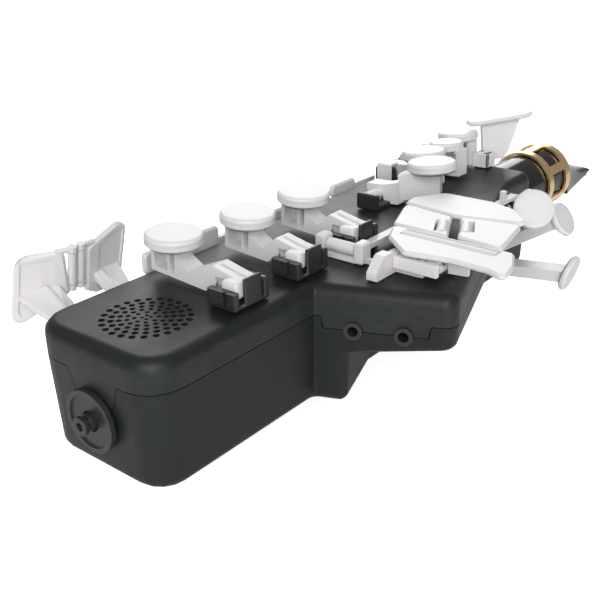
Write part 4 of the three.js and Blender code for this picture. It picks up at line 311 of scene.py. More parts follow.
def lighter_edges():
    """Lightens a colour along sharp, raised edges, in patches broken up by noise."""
    existing = bpy.data.node_groups.get("Lighter edges")
    if existing:
        return existing
    group, source, result = new_group(
        "Lighter edges",
        [
            ("Colour", "NodeSocketColor", GREY),
            ("Edge Colour", "NodeSocketColor", PALE_GREY),
            ("Amount", "NodeSocketFloat", 0.3),
        ],
        [("Colour", "NodeSocketColor")],
    )
    shape = group.nodes.new("ShaderNodeNewGeometry")
    place = group.nodes.new("ShaderNodeTexCoord").outputs["Object"]
    ridge = group.nodes.new("ShaderNodeMapRange")
    ridge.inputs["From Min"].default_value = RIDGE[0]
    ridge.inputs["From Max"].default_value = RIDGE[1]
    group.links.new(shape.outputs["Pointiness"], ridge.inputs["Value"])
    broken = group.nodes.new("ShaderNodeMath")
    broken.operation = "MULTIPLY"
    group.links.new(ridge.outputs["Result"], broken.inputs[0])
    group.links.new(place_noise(group, place, *SCUFF), broken.inputs[1])
    amount = group.nodes.new("ShaderNodeMath")
    amount.operation = "MULTIPLY"
    group.links.new(broken.outputs[0], amount.inputs[0])
    group.links.new(source.outputs["Amount"], amount.inputs[1])
    mix = group.nodes.new("ShaderNodeMix")
    mix.data_type = "RGBA"
    group.links.new(amount.outputs[0], mix.inputs["Factor"])
    group.links.new(source.outputs["Colour"], mix.inputs["A"])
    group.links.new(source.outputs["Edge Colour"], mix.inputs["B"])
    group.links.new(mix.outputs["Result"], result.inputs["Colour"])
    return group


def use_group(tree, group, values):
    node = tree.nodes.new("ShaderNodeGroup")
    node.node_tree = group
    for label, value in values.items():
        node.inputs[label].default_value = value
    return node


# Materials

# Each row has the colour or the panel's property that holds it, the mottle of the colour, the low and high
# roughness, the scale and depth of the grain, and where it needs them a lighter colour for raised edges and
# values of its surface
FINISHES = {
    "shell_black": {
        "colour": "shell_colour",
        "mottle": 0.35,
        "rough": (0.4, 0.52),
        "grain": (1150, 0.8),
        "edge_tint": (0.045, 0.049, 0.05),
        "surface": {"Specular IOR Level": 0.3},
    },
    "key_white": {
        "colour": "key_colour",
        "mottle": 0.03,
        "rough": (0.3, 0.4),
        "grain": (900, 0.06),
        "surface": {
            "Subsurface Weight": 0.12,
            "Subsurface Radius": (1, 0.9, 0.85),
            "Subsurface Scale": 1.2 * MM,
        },
    },
    "bracket_black": {
        "colour": "bracket_colour",
        "mottle": 0.3,
        "rough": (0.3, 0.42),
        "grain": (1300, 0.2),
        "edge_tint": (0.06, 0.064, 0.066),
        "surface": {"Specular IOR Level": 0.4},
    },
    "ebonite_black": {
        "colour": (0.006, 0.006, 0.007),
        "mottle": 0.3,
        "rough": (0.1, 0.2),
        "grain": (700, 0.04),
        "surface": {"Specular IOR Level": 0.35},
    },
    "speaker_paper": {
        "colour": (0.02, 0.02, 0.021),
        "mottle": 0.5,
        "rough": (0.8, 0.95),
        "grain": (2500, 0.8),
    },
    "foil_wrap": {
        "colour": (0.32, 0.34, 0.36),
        "mottle": 0.15,
        "rough": (0.25, 0.4),
        "grain": (400, 0.3),
    },
    "solder_mask": {
        "colour": (0.012, 0.09, 0.035),
        "mottle": 0.3,
        "rough": (0.25, 0.4),
        "grain": (1200, 0.2),
    },
    "silicone": {
        "colour": (0.75, 0.77, 0.78),
        "mottle": 0.05,
        "rough": (0.3, 0.4),
        "grain": (600, 0.05),
        "surface": {"Transmission Weight": 0.3},
    },
    "gold_lacquer": {
        "colour": "lacquer_colour",
        "mottle": 0.12,
        "rough": (0.1, 0.2),
        "grain": (500, 0.08),
        "surface": {"Metallic": 1},
    },
    "screw_steel": {
        "colour": (0.09, 0.09, 0.095),
        "mottle": 0.12,
        "rough": (0.25, 0.4),
        "grain": (900, 0.2),
        "surface": {"Metallic": 1},
    },
    "plated_steel": {
        "colour": (0.55, 0.55, 0.57),
        "mottle": 0.12,
        "rough": (0.2, 0.32),
        "grain": (900, 0.1),
        "surface": {"Metallic": 1},
    },
    "floor_pale": {
        "colour": (0.86, 0.86, 0.86),
        "mottle": 0.01,
        "rough": (0.6, 0.7),
        "grain": (60, 0.01),
        "surface": {"Emission Color": (1, 1, 1, 1)},
    },
}
FINISH_OF_SLOT = {
    "shell_plastic": "shell_black",
    "white_plastic": "key_white",
    "black_plastic": "bracket_black",
    "black_gloss": "ebonite_black",
    "gold_lacquer": "gold_lacquer",
    "screw_steel": "screw_steel",
    "plated_steel": "plated_steel",
    "board": "solder_mask",
    "battery_wrap": "foil_wrap",
    "cone_paper": "speaker_paper",
    "silicone": "silicone",
}


def bare_material(name):
    material = bpy.data.materials.new(name)
    material.use_nodes = True
    return material, material.node_tree, material.node_tree.nodes["Principled BSDF"]


def surface_material(name):
    """The material of that name, made the first time from its row in FINISHES."""
    existing = bpy.data.materials.get(name)
    if existing:
        return existing
    row = FINISHES[name]
    colour = row["colour"]
    if isinstance(colour, str):
        colour = getattr(look(), colour)
    material, tree, surface = bare_material(name)
    moulded = use_group(
        tree,
        moulded_surface(),
        {
            "Colour": (*colour, 1),
            "Mottle": row["mottle"],
            "Roughness Low": row["rough"][0],
            "Roughness High": row["rough"][1],
            "Grain Scale": row["grain"][0],
            "Grain Depth": row["grain"][1],
        },
    )
    colour_out = moulded.outputs["Colour"]
    # Where a row gives one, raised edges take a lighter colour in patches broken up by noise
    if "edge_tint" in row:
        edge_tint = use_group(tree, lighter_edges(), {"Edge Colour": (*row["edge_tint"], 1), "Amount": EDGE_LIGHTENING})
        tree.links.new(colour_out, edge_tint.inputs["Colour"])
        colour_out = edge_tint.outputs["Colour"]
    tree.links.new(colour_out, surface.inputs["Base Color"])
    tree.links.new(moulded.outputs["Roughness"], surface.inputs["Roughness"])
    tree.links.new(moulded.outputs["Normal"], surface.inputs["Normal"])
    for socket, value in row.get("surface", {}).items():
        surface.inputs[socket].default_value = value
    return material


def cane():
    """Fibres along the reed, between two colours."""
    existing = bpy.data.materials.get("cane")
    if existing:
        return existing
    material, tree, surface = bare_material("cane")
    place = tree.nodes.new("ShaderNodeTexCoord").outputs["Object"]
    stretch = tree.nodes.new("ShaderNodeMapping")
    stretch.inputs["Scale"].default_value = CANE_STRETCH
    tree.links.new(place, stretch.inputs["Vector"])
    fibre = place_noise(tree, stretch.outputs["Vector"], *FIBRE)
    ramp = tree.nodes.new("ShaderNodeValToRGB")
    for stop, (position, colour) in zip(ramp.color_ramp.elements, CANE_RAMP):
        stop.color = colour
        stop.position = position
    tree.links.new(fibre, ramp.inputs["Fac"])
    tree.links.new(ramp.outputs["Color"], surface.inputs["Base Color"])
    tree.links.new(place_range(tree, fibre, *CANE_ROUGH), surface.inputs["Roughness"])
    bump = tree.nodes.new("ShaderNodeBump")
    bump.inputs["Distance"].default_value = CANE_BUMP
    bump.inputs["Strength"].default_value = CANE_RELIEF
    tree.links.new(fibre, bump.inputs["Height"])
    tree.links.new(bump.outputs["Normal"], surface.inputs["Normal"])
    return material


def floor_pale():
    """A pale floor that the camera sees brighter than the object does."""
    material = surface_material("floor_pale")
    tree = material.node_tree
    rays = tree.nodes.new("ShaderNodeLightPath")
    glow = place_range(tree, rays.outputs["Is Camera Ray"], *FLOOR_GLOW)
    tree.links.new(glow, tree.nodes["Principled BSDF"].inputs["Emission Strength"])
    return material


def material_of(node):
    slot = SLOT_OF[node]
    return cane() if slot == "cane" else surface_material(FINISH_OF_SLOT[slot])


# Pieces from the frame's nodes

def node_bmesh(node):
    """The node's solid with merged points and its flat faces as one face each."""
    bm = bmesh.new()
    bm.from_mesh(frame["nodes"][node].data)
    bmesh.ops.remove_doubles(bm, verts=bm.verts, dist=WELD)
    bmesh.ops.dissolve_limit(
        bm,
        angle_limit=FLAT_ANGLE,
        verts=bm.verts,
        edges=bm.edges,
        use_dissolve_boundaries=False,
    )
    return bm


def mark_edges(bm, keep=None):
    """Gives full bevel weight to the sharp edges, apart from those that keep turns down."""
    weight = bm.edges.layers.float.new("bevel_weight_edge")
    for edge in bm.edges:
        if not edge.is_manifold or edge.calc_face_angle(0) < EDGE_ANGLE:
            continue
        if keep and not keep(edge):
            continue
        edge[weight] = 1


def mesh_object(name, mesh):
    piece = bpy.data.objects.new(name, mesh)
    bpy.context.scene.collection.objects.link(piece)
    return piece


def baked(name, bm, edge, cutters=(), segments=3):
    """One clean mesh: the solid with rounded edges, then joined with and cut by the cutters."""
    mesh = bpy.data.meshes.new(name)
    bm.to_mesh(mesh)
    bm.free()
    draft = mesh_object(name + "_draft", mesh)
    if edge:
        bevel = draft.modifiers.new("Edges", "BEVEL")
        bevel.limit_method = "WEIGHT"
        bevel.width = edge
        bevel.segments = segments
        bevel.use_clamp_overlap = True
        bevel.miter_outer = "MITER_SHARP"
    helpers = []
    for operation, tool in cutters:
        helper = mesh_object(tool.name, tool)
        helpers.append(helper)
        cut = draft.modifiers.new(operation, "BOOLEAN")
        cut.operation = operation
        cut.solver = "EXACT"
        cut.object = helper
    bpy.context.view_layer.update()
    evaluated = draft.evaluated_get(bpy.context.evaluated_depsgraph_get())
    final = bpy.data.meshes.new_from_object(evaluated)
    final.name = name
    for spare in [draft, *helpers]:
        bpy.data.objects.remove(spare)
    return final


def finished(name, mesh, material, node):
    """The mesh as a piece on the node's body, smooth across its rounded edges."""
    mesh.materials.clear()
    mesh.materials.append(material)
    mesh.polygons.foreach_set("use_smooth", [True] * len(mesh.polygons))
    mesh.set_sharp_from_angle(angle=SMOOTH_ANGLE)
    piece = mesh_object(name, mesh)
    normals = piece.modifiers.new("Normals", "WEIGHTED_NORMAL")
    normals.keep_sharp = True
    normals.weight = NORMAL_WEIGHT
    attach(piece, BODY_OF[node])
    return piece


def dress(node, edge, keep=None, cutters=(), segments=3, extra=None):
    """Replaces a node by its own shape with rounded edges and its slot's material."""
    bm = node_bmesh(node)
    mark_edges(bm, keep)
    mesh = baked(node + "_form", bm, edge, cutters, segments)
    if extra:
        joined = bmesh.new()
        joined.from_mesh(mesh)
        for part in extra:
            joined.from_mesh(part)
        joined.to_mesh(mesh)
        joined.free()
    piece = finished(node + "_visual", mesh, material_of(node), node)
    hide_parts(node)


def keep_node(node):
    """A node whose plain shape is right keeps it and takes its slot's material."""
    shown = frame["nodes"][node]
    shown.data.materials.clear()
    shown.data.materials.append(material_of(node))


# Closed shapes

def closed_mesh(name, bm):
    """The finished mesh of a closed shape, with its faces outwards."""
    bmesh.ops.recalc_face_normals(bm, faces=bm.faces)
    mesh = bpy.data.meshes.new(name)
    bm.to_mesh(mesh)
    bm.free()
    return mesh


def round_off(bm, edge):
    bmesh.ops.bevel(
        bm,
        geom=bm.edges[:],
        offset=edge,
        segments=2,
        profile=ROUND_PROFILE,
        affect="EDGES",
    )


def block(name, low, high, edge=0.0):
    """A box between two corners with rounded edges, for joining to or cutting from a piece."""
    bm = bmesh.new()
    bmesh.ops.create_cube(bm, size=1)
    span = Vector(high) - Vector(low)
    place = Matrix.Translation((Vector(low) + Vector(high)) / 2)
    bm.transform(place @ Matrix.Diagonal((*span, 1)))
    if edge:
        round_off(bm, edge)
    return closed_mesh(name, bm)


def frame_block(name, corners):
    """A block between two corners given in millimetres in the frame."""
    low, high = ([side * MM for side in corner] for corner in corners)
    return block(name, low, high, look().small_edge)


def draw_out(bm, outline, low, high):
    """Adds a closed outline of (x, y) points drawn out between two heights."""
    lower, upper = ([bm.verts.new((*point, height)) for point in outline] for height in (low, high))
    bm.faces.new(lower[::-1])
    bm.faces.new(upper)
    for k in range(len(outline)):
        j = (k + 1) % len(outline)
        bm.faces.new([lower[k], lower[j], upper[j], upper[k]])


def slab(name, outline, low, high, matrix):
    """A closed outline drawn out between two heights, placed by the matrix."""
    bm = bmesh.new()
    draw_out(bm, outline, low, high)
    bm.transform(matrix)
    return closed_mesh(name, bm)


def circle(middle, radius, sides):
    angles = [2 * math.pi * k / sides for k in range(sides)]
    return [(middle[0] + radius * math.cos(a), middle[1] + radius * math.sin(a)) for a in angles]


# Turned shapes

def turned_mesh(name, profile, place, axis, sides=FINE_SIDES):
    """A closed profile of (radius, distance) points turned about the axis from place."""
    bm = bmesh.new()
    rings = []
    for radius, distance in profile:
        if radius < WELD:
            rings.append([bm.verts.new((0, 0, distance))])
        else:
            around = circle((0, 0), radius, sides)
            rings.append([bm.verts.new((*point, distance)) for point in around])
    closed = rings if profile[0][0] < WELD and profile[-1][0] < WELD else [*rings, rings[0]]
    for first, second in zip(closed, closed[1:]):
        for k in range(sides):
            j = (k + 1) % sides
            corners = [
                first[k % len(first)],
                first[j % len(first)],
                second[j % len(second)],
                second[k % len(second)],
            ]
            distinct = list(dict.fromkeys(corners))
            if len(distinct) > 2:
                bm.faces.new(distinct)
    direction = Vector(axis).normalized()
    turn_to = direction.to_track_quat("Z", "Y").to_matrix().to_4x4()
    bm.transform(Matrix.Translation(Vector(place)) @ turn_to)
    return closed_mesh(name, bm)


def soft_rim(middle, radius):
    """Points of a quarter circle, from beside the middle to above it."""
    angles = [math.radians(90 * k / RIM_STEPS) for k in range(RIM_STEPS + 1)]
    return [(middle[0] + radius * math.cos(a), middle[1] + radius * math.sin(a)) for a in angles]


def round_face(node):
    """Middle, normal and radius of the node's largest round flat face."""
    bm = node_bmesh(node)
    best = None
    widest = 0
    for face in bm.faces:
        middle = face.calc_center_median()
        reach = [(corner.co - middle).length for corner in face.verts]
        if len(reach) < ROUND_CORNERS or max(reach) - min(reach) > ROUND_SPREAD * max(reach):
            continue
        if face.calc_area() > widest:
            widest = face.calc_area()
            best = (middle.copy(), face.normal.copy(), max(reach))
    bm.free()
    return best


def touch_cap(node, edge, depth):
    """The round touch of a key, finely turned, with a soft rim and a shallow parting groove."""
    middle, normal, flat = round_face(node)
    radius = flat + edge
    under = [(0, -depth + SKIN), (radius - edge, -depth + SKIN), (radius, -depth + edge)]
    band = depth / TOUCH_BANDS
    side = [
        (radius, -edge - 2 * GROOVE - band),
        (radius - GROOVE, -edge - GROOVE - band),
        (radius - GROOVE, -edge - band),
    ]
    rim = soft_rim((radius - edge, -edge), edge)
    crown = [(radius * CROWN_REACH, -GROOVE), (0, -GROOVE * CROWN_DIP)]
    return turned_mesh(node + "_touch", [*under, *side, *rim, *crown], middle, normal)


# Levers and their brackets

# Places are in millimetres from a lever's pivot: towards its touch, along the body, up
LOWER_KEYS = ["key_d", "key_e", "key_f"]
HOODED_KEYS = ["key_a", "key_bis"]
NEAR_CHEEK = {
    "key_d": -9.1,
    "key_e": -9.1,
    "key_f": -9.1,
    "key_g": -10.5,
    "key_a": -7.1,
    "key_bis": -7.1,
    "key_b": -7.1,
}
HUB = ((-4.2, -6.4, -1.5), (1.8, -2.7, 3.75))
HUB_EDGE = 0.8
NOTCH = ((2.4, -3.3, -2.2), (7.3, -1.4, 2.4))
LEVER_TOP = (-4.4, 3.2)
LEVER_SLOPE = 0.147
CHANNEL_SIDES = (-0.7, 0.8)
CHANNEL_ENDS = (7.4, -3.2)
CHANNEL_DEPTH = 0.7
CHANNEL_OVER = 3
END_WALL = ((-5.97, -4.2, -3.6), (-4.75, 2.9, 5.0))
END_WALL_EDGE = 0.4
CHEEK_CUT = ((-6.6, -9.6, 1.6), (5.6, -6.6, 4.0))
CHEEK_GROOVE = ((-2.4, -9.6, -3.2), (-1.5, -8.3, 4.0))
PIN_RADIUS = 1.5
PIN_SIDES = 24
CAP_PROUD = 0.05
CAP_DEEP = 0.22
HOOD = ((-2.6, -8.7, -2.8), (4.4, -7.45, 4.3))
HOOD_TOP = ((-2.6, -8.7, 2.85), (4.0, -2.7, 4.3))
HOOD_EDGE = 0.55


def pivot_of(key):
    joint = next(j for j in RECORD["behaviour"]["joints"] if j["child"] == BODY_OF[key])
    return Vector(joint["pos_m"])


def from_pivot(key, place):
    """A place given from a lever's pivot, in the frame."""
    pivot = pivot_of(key)
    low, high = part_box(key)
    side = 1 if (low.x + high.x) / 2 > pivot.x else -1
    return pivot + Vector((side * place[0], place[1], place[2])) * MM


def lever_block(name, key, corners, edge=0.0):
    first, second = (from_pivot(key, corner) for corner in corners)
    low = [min(pair) for pair in zip(first, second)]
    high = [max(pair) for pair in zip(first, second)]
    return block(name, low, high, edge * MM)


def lever_channel(key):
    """A groove that follows the sloping top of a lower lever."""
    outline = []
    for distance, rise in (
        (CHANNEL_ENDS[0], -CHANNEL_DEPTH),
        (CHANNEL_ENDS[1], -CHANNEL_DEPTH),
        (CHANNEL_ENDS[1], CHANNEL_OVER),
        (CHANNEL_ENDS[0], CHANNEL_OVER),
    ):
        top = LEVER_TOP[1] + (distance - LEVER_TOP[0]) * LEVER_SLOPE
        corner = from_pivot(key, (distance, 0, top + rise))
        outline.append((corner.x, corner.z))
    near, far = (pivot_of(key).y + side * MM for side in CHANNEL_SIDES)
    along_body = Matrix(((1, 0, 0), (0, 0, 1), (0, 1, 0))).to_4x4()
    return slab("channel", outline, near, far, along_body)


def pin_cap(key):
    """The closed outer face of a cheek, over the end of the lever's pin."""
    place = from_pivot(key, (0, NEAR_CHEEK[key] - CAP_PROUD, 0))
    radius = PIN_RADIUS * MM
    depth = (CAP_PROUD + CAP_DEEP) * MM
    profile = [(0, 0), (radius, 0), (radius, depth), (0, depth)]
    return turned_mesh("pin_cap", profile, place, (0, 1, 0), PIN_SIDES)


def dress_lever(key):
    """A finger lever with its finely turned touch, and with a hub or a hood over its near cheek."""
    cap = touch_cap(key, TOUCH_EDGE, TOUCH_DEPTH)
    cutters = []
    if key in LOWER_KEYS:
        cutters = [
            ("DIFFERENCE", lever_block("notch", key, NOTCH)),
            ("DIFFERENCE", lever_channel(key)),
            ("UNION", lever_block("hub", key, HUB, HUB_EDGE)),
        ]
    elif key in HOODED_KEYS:
        cutters = [
            ("UNION", lever_block("hood_top", key, HOOD_TOP, HOOD_EDGE)),
            ("UNION", lever_block("hood", key, HOOD, HOOD_EDGE)),
        ]
    dress(key, look().key_edge, cutters=cutters, extra=[cap])


def dress_bracket(bracket, keys):
    """A bracket with its pins' ends closed. The lower ones have an end wall and a groove."""
    cutters = [("UNION", pin_cap(key)) for key in keys]
    if keys[0] in LOWER_KEYS:
        cutters += [
            ("DIFFERENCE", lever_block("cheek_cut", keys[0], CHEEK_CUT)),
            ("DIFFERENCE", lever_block("cheek_groove", keys[0], CHEEK_GROOVE)),
            ("UNION", lever_block("end_wall", keys[0], END_WALL, END_WALL_EDGE)),
        ]
    dress(bracket, look().small_edge, cutters=cutters)


# Paddles

# Places are in millimetres in the plane of each plate: away from the rollers, up, out of the plate. A corner
# has the points before it, at it and after it, and its radius. The start, the roots and the hinge tube are
# in the frame
PADDLES = {
    "low_e_flat_key": {
        "start": (-45, -81.2, 42),
        "side": -1,
        "flare": 34,
        "back": -1,
        "corners": [
            ((19.4, -14), (15.4, 7.4), (0, 8), 6.5),
            ((18.2, -18.6), (19.4, -14), (15.4, 7.4), 5),
        ],
        "web": [(3.0, -4.0), (17.0, -6.5), (16.5, -9.5), (4.0, -7.5)],
        "recess": [(4.6, -8.2), (16.2, -14.6), (17.0, -12.5), (14.0, 5.3), (4.6, 5.6)],
        "root": (-92.4, -85.6),
    },
    "low_c_key": {
        "start": (-45, -73.8, 42),
        "side": 1,
        "flare": 5,
        "back": 1,
        "corners": [((16.2, -13), (17.8, 10.2), (13, 11.6), 4.4)],
        "web": [(3.0, -3.6), (15.0, -4.0), (15.0, -7.0), (3.5, -7.0)],
        "recess": [(4.8, -10.4), (14.6, -11.2), (15.9, 8.4), (12.8, 9.3), (4.8, 6.2)],
        "root": (-71.4, -64.6),
    },
}
PADDLE_LEAN = math.radians(12)
PADDLE_BACK = 1.1
PADDLE_RECESS = 0.55
RECESS_OVER = 0.4
PADDLE_WEB = 1.2
WEB_SINK = 0.9
WEB_EDGE = 0.5
PADDLE_TUBE = (-29.4, 28.0)
CORNER_STEPS = 8
CORNER_OVER = 3


def paddle_matrix(paddle):
    """From the plane of a paddle's plate to the frame."""
    flare = math.radians(paddle["flare"])
    away = Vector((-math.sin(flare), paddle["side"] * math.cos(flare), 0))
    up = Vector((math.sin(PADDLE_LEAN), 0, math.cos(PADDLE_LEAN)))
    up = (up - away * up.dot(away)).normalized()
    axes = Matrix((away, up, away.cross(up))).transposed().to_4x4()
    return Matrix.Translation(Vector(paddle["start"]) * MM) @ axes @ Matrix.Scale(MM, 4)


def corner_cutter(before, corner, after, radius, matrix):
    """What a larger corner radius takes from a plate's outline."""
    before, corner, after = Vector(before), Vector(corner), Vector(after)
    first = (before - corner).normalized()
    second = (after - corner).normalized()
    inward = (first + second).normalized()
    half = first.angle(second) / 2
    reach = radius / math.tan(half)
    middle = corner + inward * radius / math.sin(half)
    spoke = corner + first * reach - middle
    turn = math.pi - 2 * half
    sense = 1 if spoke.x * (-inward.y) - spoke.y * (-inward.x) > 0 else -1
    outline = []
    for k in range(CORNER_STEPS + 1):
        angle = sense * turn * k / CORNER_STEPS
        x = spoke.x * math.cos(angle) - spoke.y * math.sin(angle)
        y = spoke.x * math.sin(angle) + spoke.y * math.cos(angle)
        outline.append(middle + Vector((x, y)))
    outline.append(corner + second * reach - inward)
    outline.append(corner - CORNER_OVER * inward)
    outline.append(corner + first * reach - inward)
    return slab("corner", outline, -CORNER_OVER, CORNER_OVER, matrix)


def paddle_web(paddle, matrix):
    """The broad arm from the back of a plate to its hinge tube."""
    back = paddle["back"] * (PADDLE_BACK - WEB_SINK)
    bm = bmesh.new()
    for x, y in paddle["web"]:
        bm.verts.new(matrix @ Vector((x, y, back)))
    for y in paddle["root"]:
        for shift in (-PADDLE_WEB, PADDLE_WEB):
            bm.verts.new(Vector((PADDLE_TUBE[0], y, PADDLE_TUBE[1] + shift)) * MM)
    hull = bmesh.ops.convex_hull(bm, input=bm.verts)
    bmesh.ops.delete(bm, geom=hull["geom_interior"], context="VERTS")
    round_off(bm, WEB_EDGE * MM)
    return closed_mesh("web", bm)


def dress_paddle(node):
    """A paddle with rounder corners, a rim at its back and a broad arm."""
    paddle = PADDLES[node]
    matrix = paddle_matrix(paddle)
    back = paddle["back"]
    depths = sorted((back * (PADDLE_BACK - PADDLE_RECESS), back * (PADDLE_BACK + RECESS_OVER)))
    cutters = [("DIFFERENCE", corner_cutter(*corner, matrix)) for corner in paddle["corners"]]
    cutters.append(("DIFFERENCE", slab("recess", paddle["recess"], *depths, matrix)))
    cutters.append(("UNION", paddle_web(paddle, matrix)))
    dress(node, look().small_edge, cutters=cutters)


# Pieces

LEVER_KEYS = ["key_d", "key_e", "key_f", "key_g", "key_a", "key_bis", "key_b"]
PALM_KEYS = ["palm_key_1", "palm_key_2", "palm_key_3"]
TABLE_PIECES = [
    "key_g_sharp",
    "key_c_sharp",
    "key_low_b",
    "key_low_b_flat",
    "c_sharp_roller",
    "low_b_roller",
    "low_b_flat_roller",
]
SIDE_PIECES = ["side_key_1", "side_key_2", "side_key_3", "e_flat_roller", "c_roller"]
BRACKETS = {
    "bracket_d": ["key_d"],
    "bracket_e": ["key_e"],
    "bracket_f": ["key_f"],
    "bracket_g": ["key_g"],
    "bracket_upper": ["key_a", "key_bis", "key_b"],
}
MOUTH_PIECES = [
    "mouthpiece",
    "neck_receiver",
    "reed",
    "ligature",
    "ligature_screw_1",
    "ligature_screw_2",
]
INSIDE = ["main_board", "battery", "speaker_basket", "speaker_cone", "breath_sensor", "breath_tube"]

# Fittings and the share of the small edge that rounds each
FITTINGS = {
    "outlet_flange": 1,
    "outlet_valve": 1,
    "headphone_jack": 1,
    "line_jack": 1,
    "usb_port": 0.5,
    "power_button": 0.5,
    "mode_button": 0.5,
    "thumb_hook": 2,
    "thumb_rest": 2,
    "octave_key": 2,
    "strap_ring": 2,
    "back_screw_1": 0.5,
    "back_screw_2": 0.5,
    "back_screw_3": 0.5,
    "back_screw_4": 0.5,
}

# Blocks that some pieces gain, between corners in millimetres in the frame
TABLE_VALANCE = ((41.0, -21.7, 44.0), (56.6, -19.9, 48.0))
FRONT_HOOD = (
    ((5.4, 99.95, 42.3), (8.7, 101.25, 48.1)),
    ((7.75, 99.95, 42.3), (8.7, 107.0, 48.1)),
)
PALM_POST = (
    ((32.2, 72.8, 37.4), (34.6, 76.2, 40.6)),
    ((31.8, 62.0, 39.9), (35.0, 76.6, 41.3)),
    ((32.4, 65.6, 40.7), (34.5, 68.0, 45.0)),
)


def near_grille(edge):
    middle = (edge.verts[0].co + edge.verts[1].co) / 2
    return math.hypot(middle.x - GRILLE_PLACE[0], middle.y - GRILLE_PLACE[1]) < PLUG_RADIUS


def grille_plug(face):
    """A disc that closes the frame's coarse grille."""
    bm = bmesh.new()
    draw_out(bm, circle(GRILLE_PLACE, PLUG_RADIUS, FINE_SIDES), face - SHELL_WALL, face)
    return closed_mesh("grille_plug", bm)


def grille_drills(face):
    """Rings of holes that shrink towards the middle, each ring turned by half a step."""
    bm = bmesh.new()
    for ring, (reach, count, scale) in enumerate(GRILLE_RINGS):
        for k in range(count):
            angle = (k + ring / 2) / count * 2 * math.pi
            x = GRILLE_PLACE[0] + GRILLE_RADIUS * reach * math.cos(angle)
            y = GRILLE_PLACE[1] + GRILLE_RADIUS * reach * math.sin(angle)
            hole = circle((x, y), GRILLE_HOLE * scale, GRILLE_SIDES)
            draw_out(bm, hole, face - 2 * SHELL_WALL, face + SHELL_WALL)
    return closed_mesh("grille_drills", bm)


def dress_upper_shell():
    """The upper shell with the fine grille in place of the coarse one."""
    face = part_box("bracket_d")[0].z - PLUG_DROP
    dress(
        "upper_shell",
        look().small_edge,
        keep=lambda edge: not near_grille(edge),
        cutters=[("UNION", grille_plug(face)), ("DIFFERENCE", grille_drills(face))],
        segments=2,
    )


# Studio

def camera_matrix():
    axes = Matrix((CAMERA_RIGHT, CAMERA_UP, CAMERA_BACK)).transposed()
    return Matrix.Translation(CAMERA_PLACE) @ axes.to_4x4()


def add_camera():
    data = bpy.data.cameras.new("Camera")
    data.lens = CAMERA_LENS
    data.sensor_width = CAMERA_SENSOR
    camera = bpy.data.objects.new("Camera", data)
    camera.matrix_world = camera_matrix()
    bpy.context.scene.collection.objects.link(camera)
    bpy.context.scene.camera = camera


def add_floor():
    low = CAD_BOX[0][2]
    bpy.ops.mesh.primitive_plane_add(size=FLOOR_SIZE, location=(0, 0, low))
    floor = bpy.context.object
    floor.name = "floor"
    floor.data.materials.append(floor_pale())


def add_light(name, place, size, power):
    data = bpy.data.lights.new(name, "AREA")
    data.shape = "DISK"
    data.size = size
    data.energy = power
    light = bpy.data.objects.new(name, data)
    light.location = place
    aim = Vector(LIGHT_AIM) - Vector(place)
    light.rotation_euler = aim.to_track_quat("-Z", "Y").to_euler()
    bpy.context.scene.collection.objects.link(light)


def add_sky():
    """A sky that lightens upwards and that the camera sees as white."""
    world = bpy.data.worlds.new("Studio")
    world.use_nodes = True
    tree = world.node_tree
    sky = tree.nodes["Background"]
    sky.inputs["Color"].default_value = (1, 1, 1, 1)
    height = tree.nodes.new("ShaderNodeSeparateXYZ")
    direction = tree.nodes.new("ShaderNodeTexCoord").outputs["Generated"]
    tree.links.new(direction, height.inputs["Vector"])
    brighter = tree.nodes.new("ShaderNodeMath")
    brighter.operation = "MAXIMUM"
    tree.links.new(place_range(tree, height.outputs["Z"], *SKY_SHADE), brighter.inputs[0])
    rays = tree.nodes.new("ShaderNodeLightPath")
    tree.links.new(rays.outputs["Is Camera Ray"], brighter.inputs[1])
    tree.links.new(brighter.outputs[0], sky.inputs["Strength"])
    bpy.context.scene.world = world


class WINDCONTROLLER_OT_stage(Operator):
    """Adds the floor, the lights, the sky and the camera."""

    bl_idname = "wind_controller.stage"
    bl_label = "Stage"

    def execute(self, context):
        add_camera()
        add_floor()
        add_sky()
        for light in LIGHTS:
            add_light(*light)
        context.scene.view_settings.view_transform = "Standard"
        return {"FINISHED"}


class WINDCONTROLLER_OT_shells(Operator):
    """Adds the two halves of the body."""

    bl_idname = "wind_controller.shells"
    bl_label = "Shells"

    def execute(self, context):
        dress_upper_shell()
        dress("lower_shell", look().small_edge, segments=2)
        return {"FINISHED"}


class WINDCONTROLLER_OT_levers(Operator):
    """Adds the finger levers, the front lever and their brackets."""

    bl_idname = "wind_controller.levers"
    bl_label = "Levers"

    def execute(self, context):
        for key in LEVER_KEYS:
            dress_lever(key)
        hood = [("UNION", frame_block("front_hood", corners)) for corners in FRONT_HOOD]
        dress("key_front_f", look().key_edge, cutters=hood)
        for bracket, keys in BRACKETS.items():
            dress_bracket(bracket, keys)
        return {"FINISHED"}


class WINDCONTROLLER_OT_table(Operator):
    """Adds the little finger table, its rollers and its bracket."""

    bl_idname = "wind_controller.table"
    bl_label = "Table"

    def execute(self, context):
        for node in TABLE_PIECES:
            dress(node, look().small_edge)
        valance = frame_block("valance", TABLE_VALANCE)
        dress("table_bracket", look().small_edge, cutters=[("UNION", valance)])
        return {"FINISHED"}


class WINDCONTROLLER_OT_side_keys(Operator):
    """Adds the side keys, the two paddles, their rollers and the palm keys."""

    bl_idname = "wind_controller.side_keys"
    bl_label = "Side keys"

    def execute(self, context):
        for node in SIDE_PIECES:
            dress(node, look().small_edge)
        for node in PADDLES:
            dress_paddle(node)
        for node in PALM_KEYS:
            added = PALM_POST if node == "palm_key_1" else ()
            cutters = [("UNION", frame_block("post", corners)) for corners in added]
            cap = touch_cap(node, PALM_EDGE, PALM_DEPTH)
            dress(node, look().key_edge, cutters=cutters, extra=[cap])
        return {"FINISHED"}


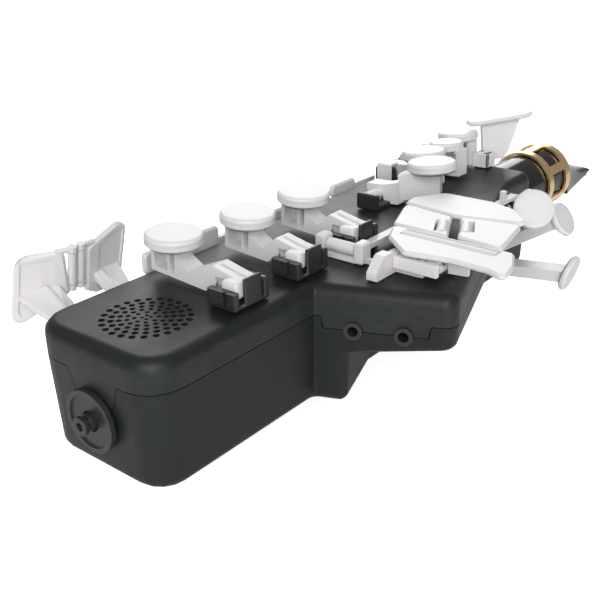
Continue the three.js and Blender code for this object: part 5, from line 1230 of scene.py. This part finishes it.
class WINDCONTROLLER_OT_mouthpiece(Operator):
    """Adds the neck, mouthpiece, reed and ligature."""

    bl_idname = "wind_controller.mouthpiece"
    bl_label = "Mouthpiece"

    def execute(self, context):
        for node in MOUTH_PIECES:
            dress(node, look().small_edge)
        return {"FINISHED"}


class WINDCONTROLLER_OT_fittings(Operator):
    """Adds the outlet, sockets, buttons, screws and the pieces on the back."""

    bl_idname = "wind_controller.fittings"
    bl_label = "Fittings"

    def execute(self, context):
        for node, share in FITTINGS.items():
            dress(node, look().small_edge * share)
        return {"FINISHED"}


class WINDCONTROLLER_OT_inside(Operator):
    """Gives the pieces inside the body their finishes."""

    bl_idname = "wind_controller.inside"
    bl_label = "Inside"

    def execute(self, context):
        for node in INSIDE:
            keep_node(node)
        return {"FINISHED"}


PIECE_OPERATORS = [
    WINDCONTROLLER_OT_shells,
    WINDCONTROLLER_OT_levers,
    WINDCONTROLLER_OT_table,
    WINDCONTROLLER_OT_side_keys,
    WINDCONTROLLER_OT_mouthpiece,
    WINDCONTROLLER_OT_fittings,
    WINDCONTROLLER_OT_inside,
    WINDCONTROLLER_OT_stage,
]


class WINDCONTROLLER_PT_panel(Panel):
    """Lists the pieces and the look of the wind controller."""

    bl_idname = "WINDCONTROLLER_PT_panel"
    bl_label = "Wind Controller"
    bl_space_type = "VIEW_3D"
    bl_region_type = "UI"
    bl_category = "Wind Controller"

    def draw(self, context):
        for name in WindControllerLook.__annotations__:
            self.layout.prop(context.scene.wind_controller, name)
        for operator in PIECE_OPERATORS:
            self.layout.operator(operator.bl_idname)


CLASSES = [WindControllerLook, *PIECE_OPERATORS, WINDCONTROLLER_PT_panel]


def register():
    for kind in CLASSES:
        bpy.utils.register_class(kind)
    bpy.types.Scene.wind_controller = bpy.props.PointerProperty(type=WindControllerLook)


def unregister():
    del bpy.types.Scene.wind_controller
    for kind in reversed(CLASSES):
        bpy.utils.unregister_class(kind)


def main():
    register()
    bpy.ops.wind_controller.shells()
    bpy.ops.wind_controller.levers()
    bpy.ops.wind_controller.table()
    bpy.ops.wind_controller.side_keys()
    bpy.ops.wind_controller.mouthpiece()
    bpy.ops.wind_controller.fittings()
    bpy.ops.wind_controller.inside()
    bpy.ops.wind_controller.stage()
    bpy.context.view_layer.update()


if __name__ == "__main__":
    main()
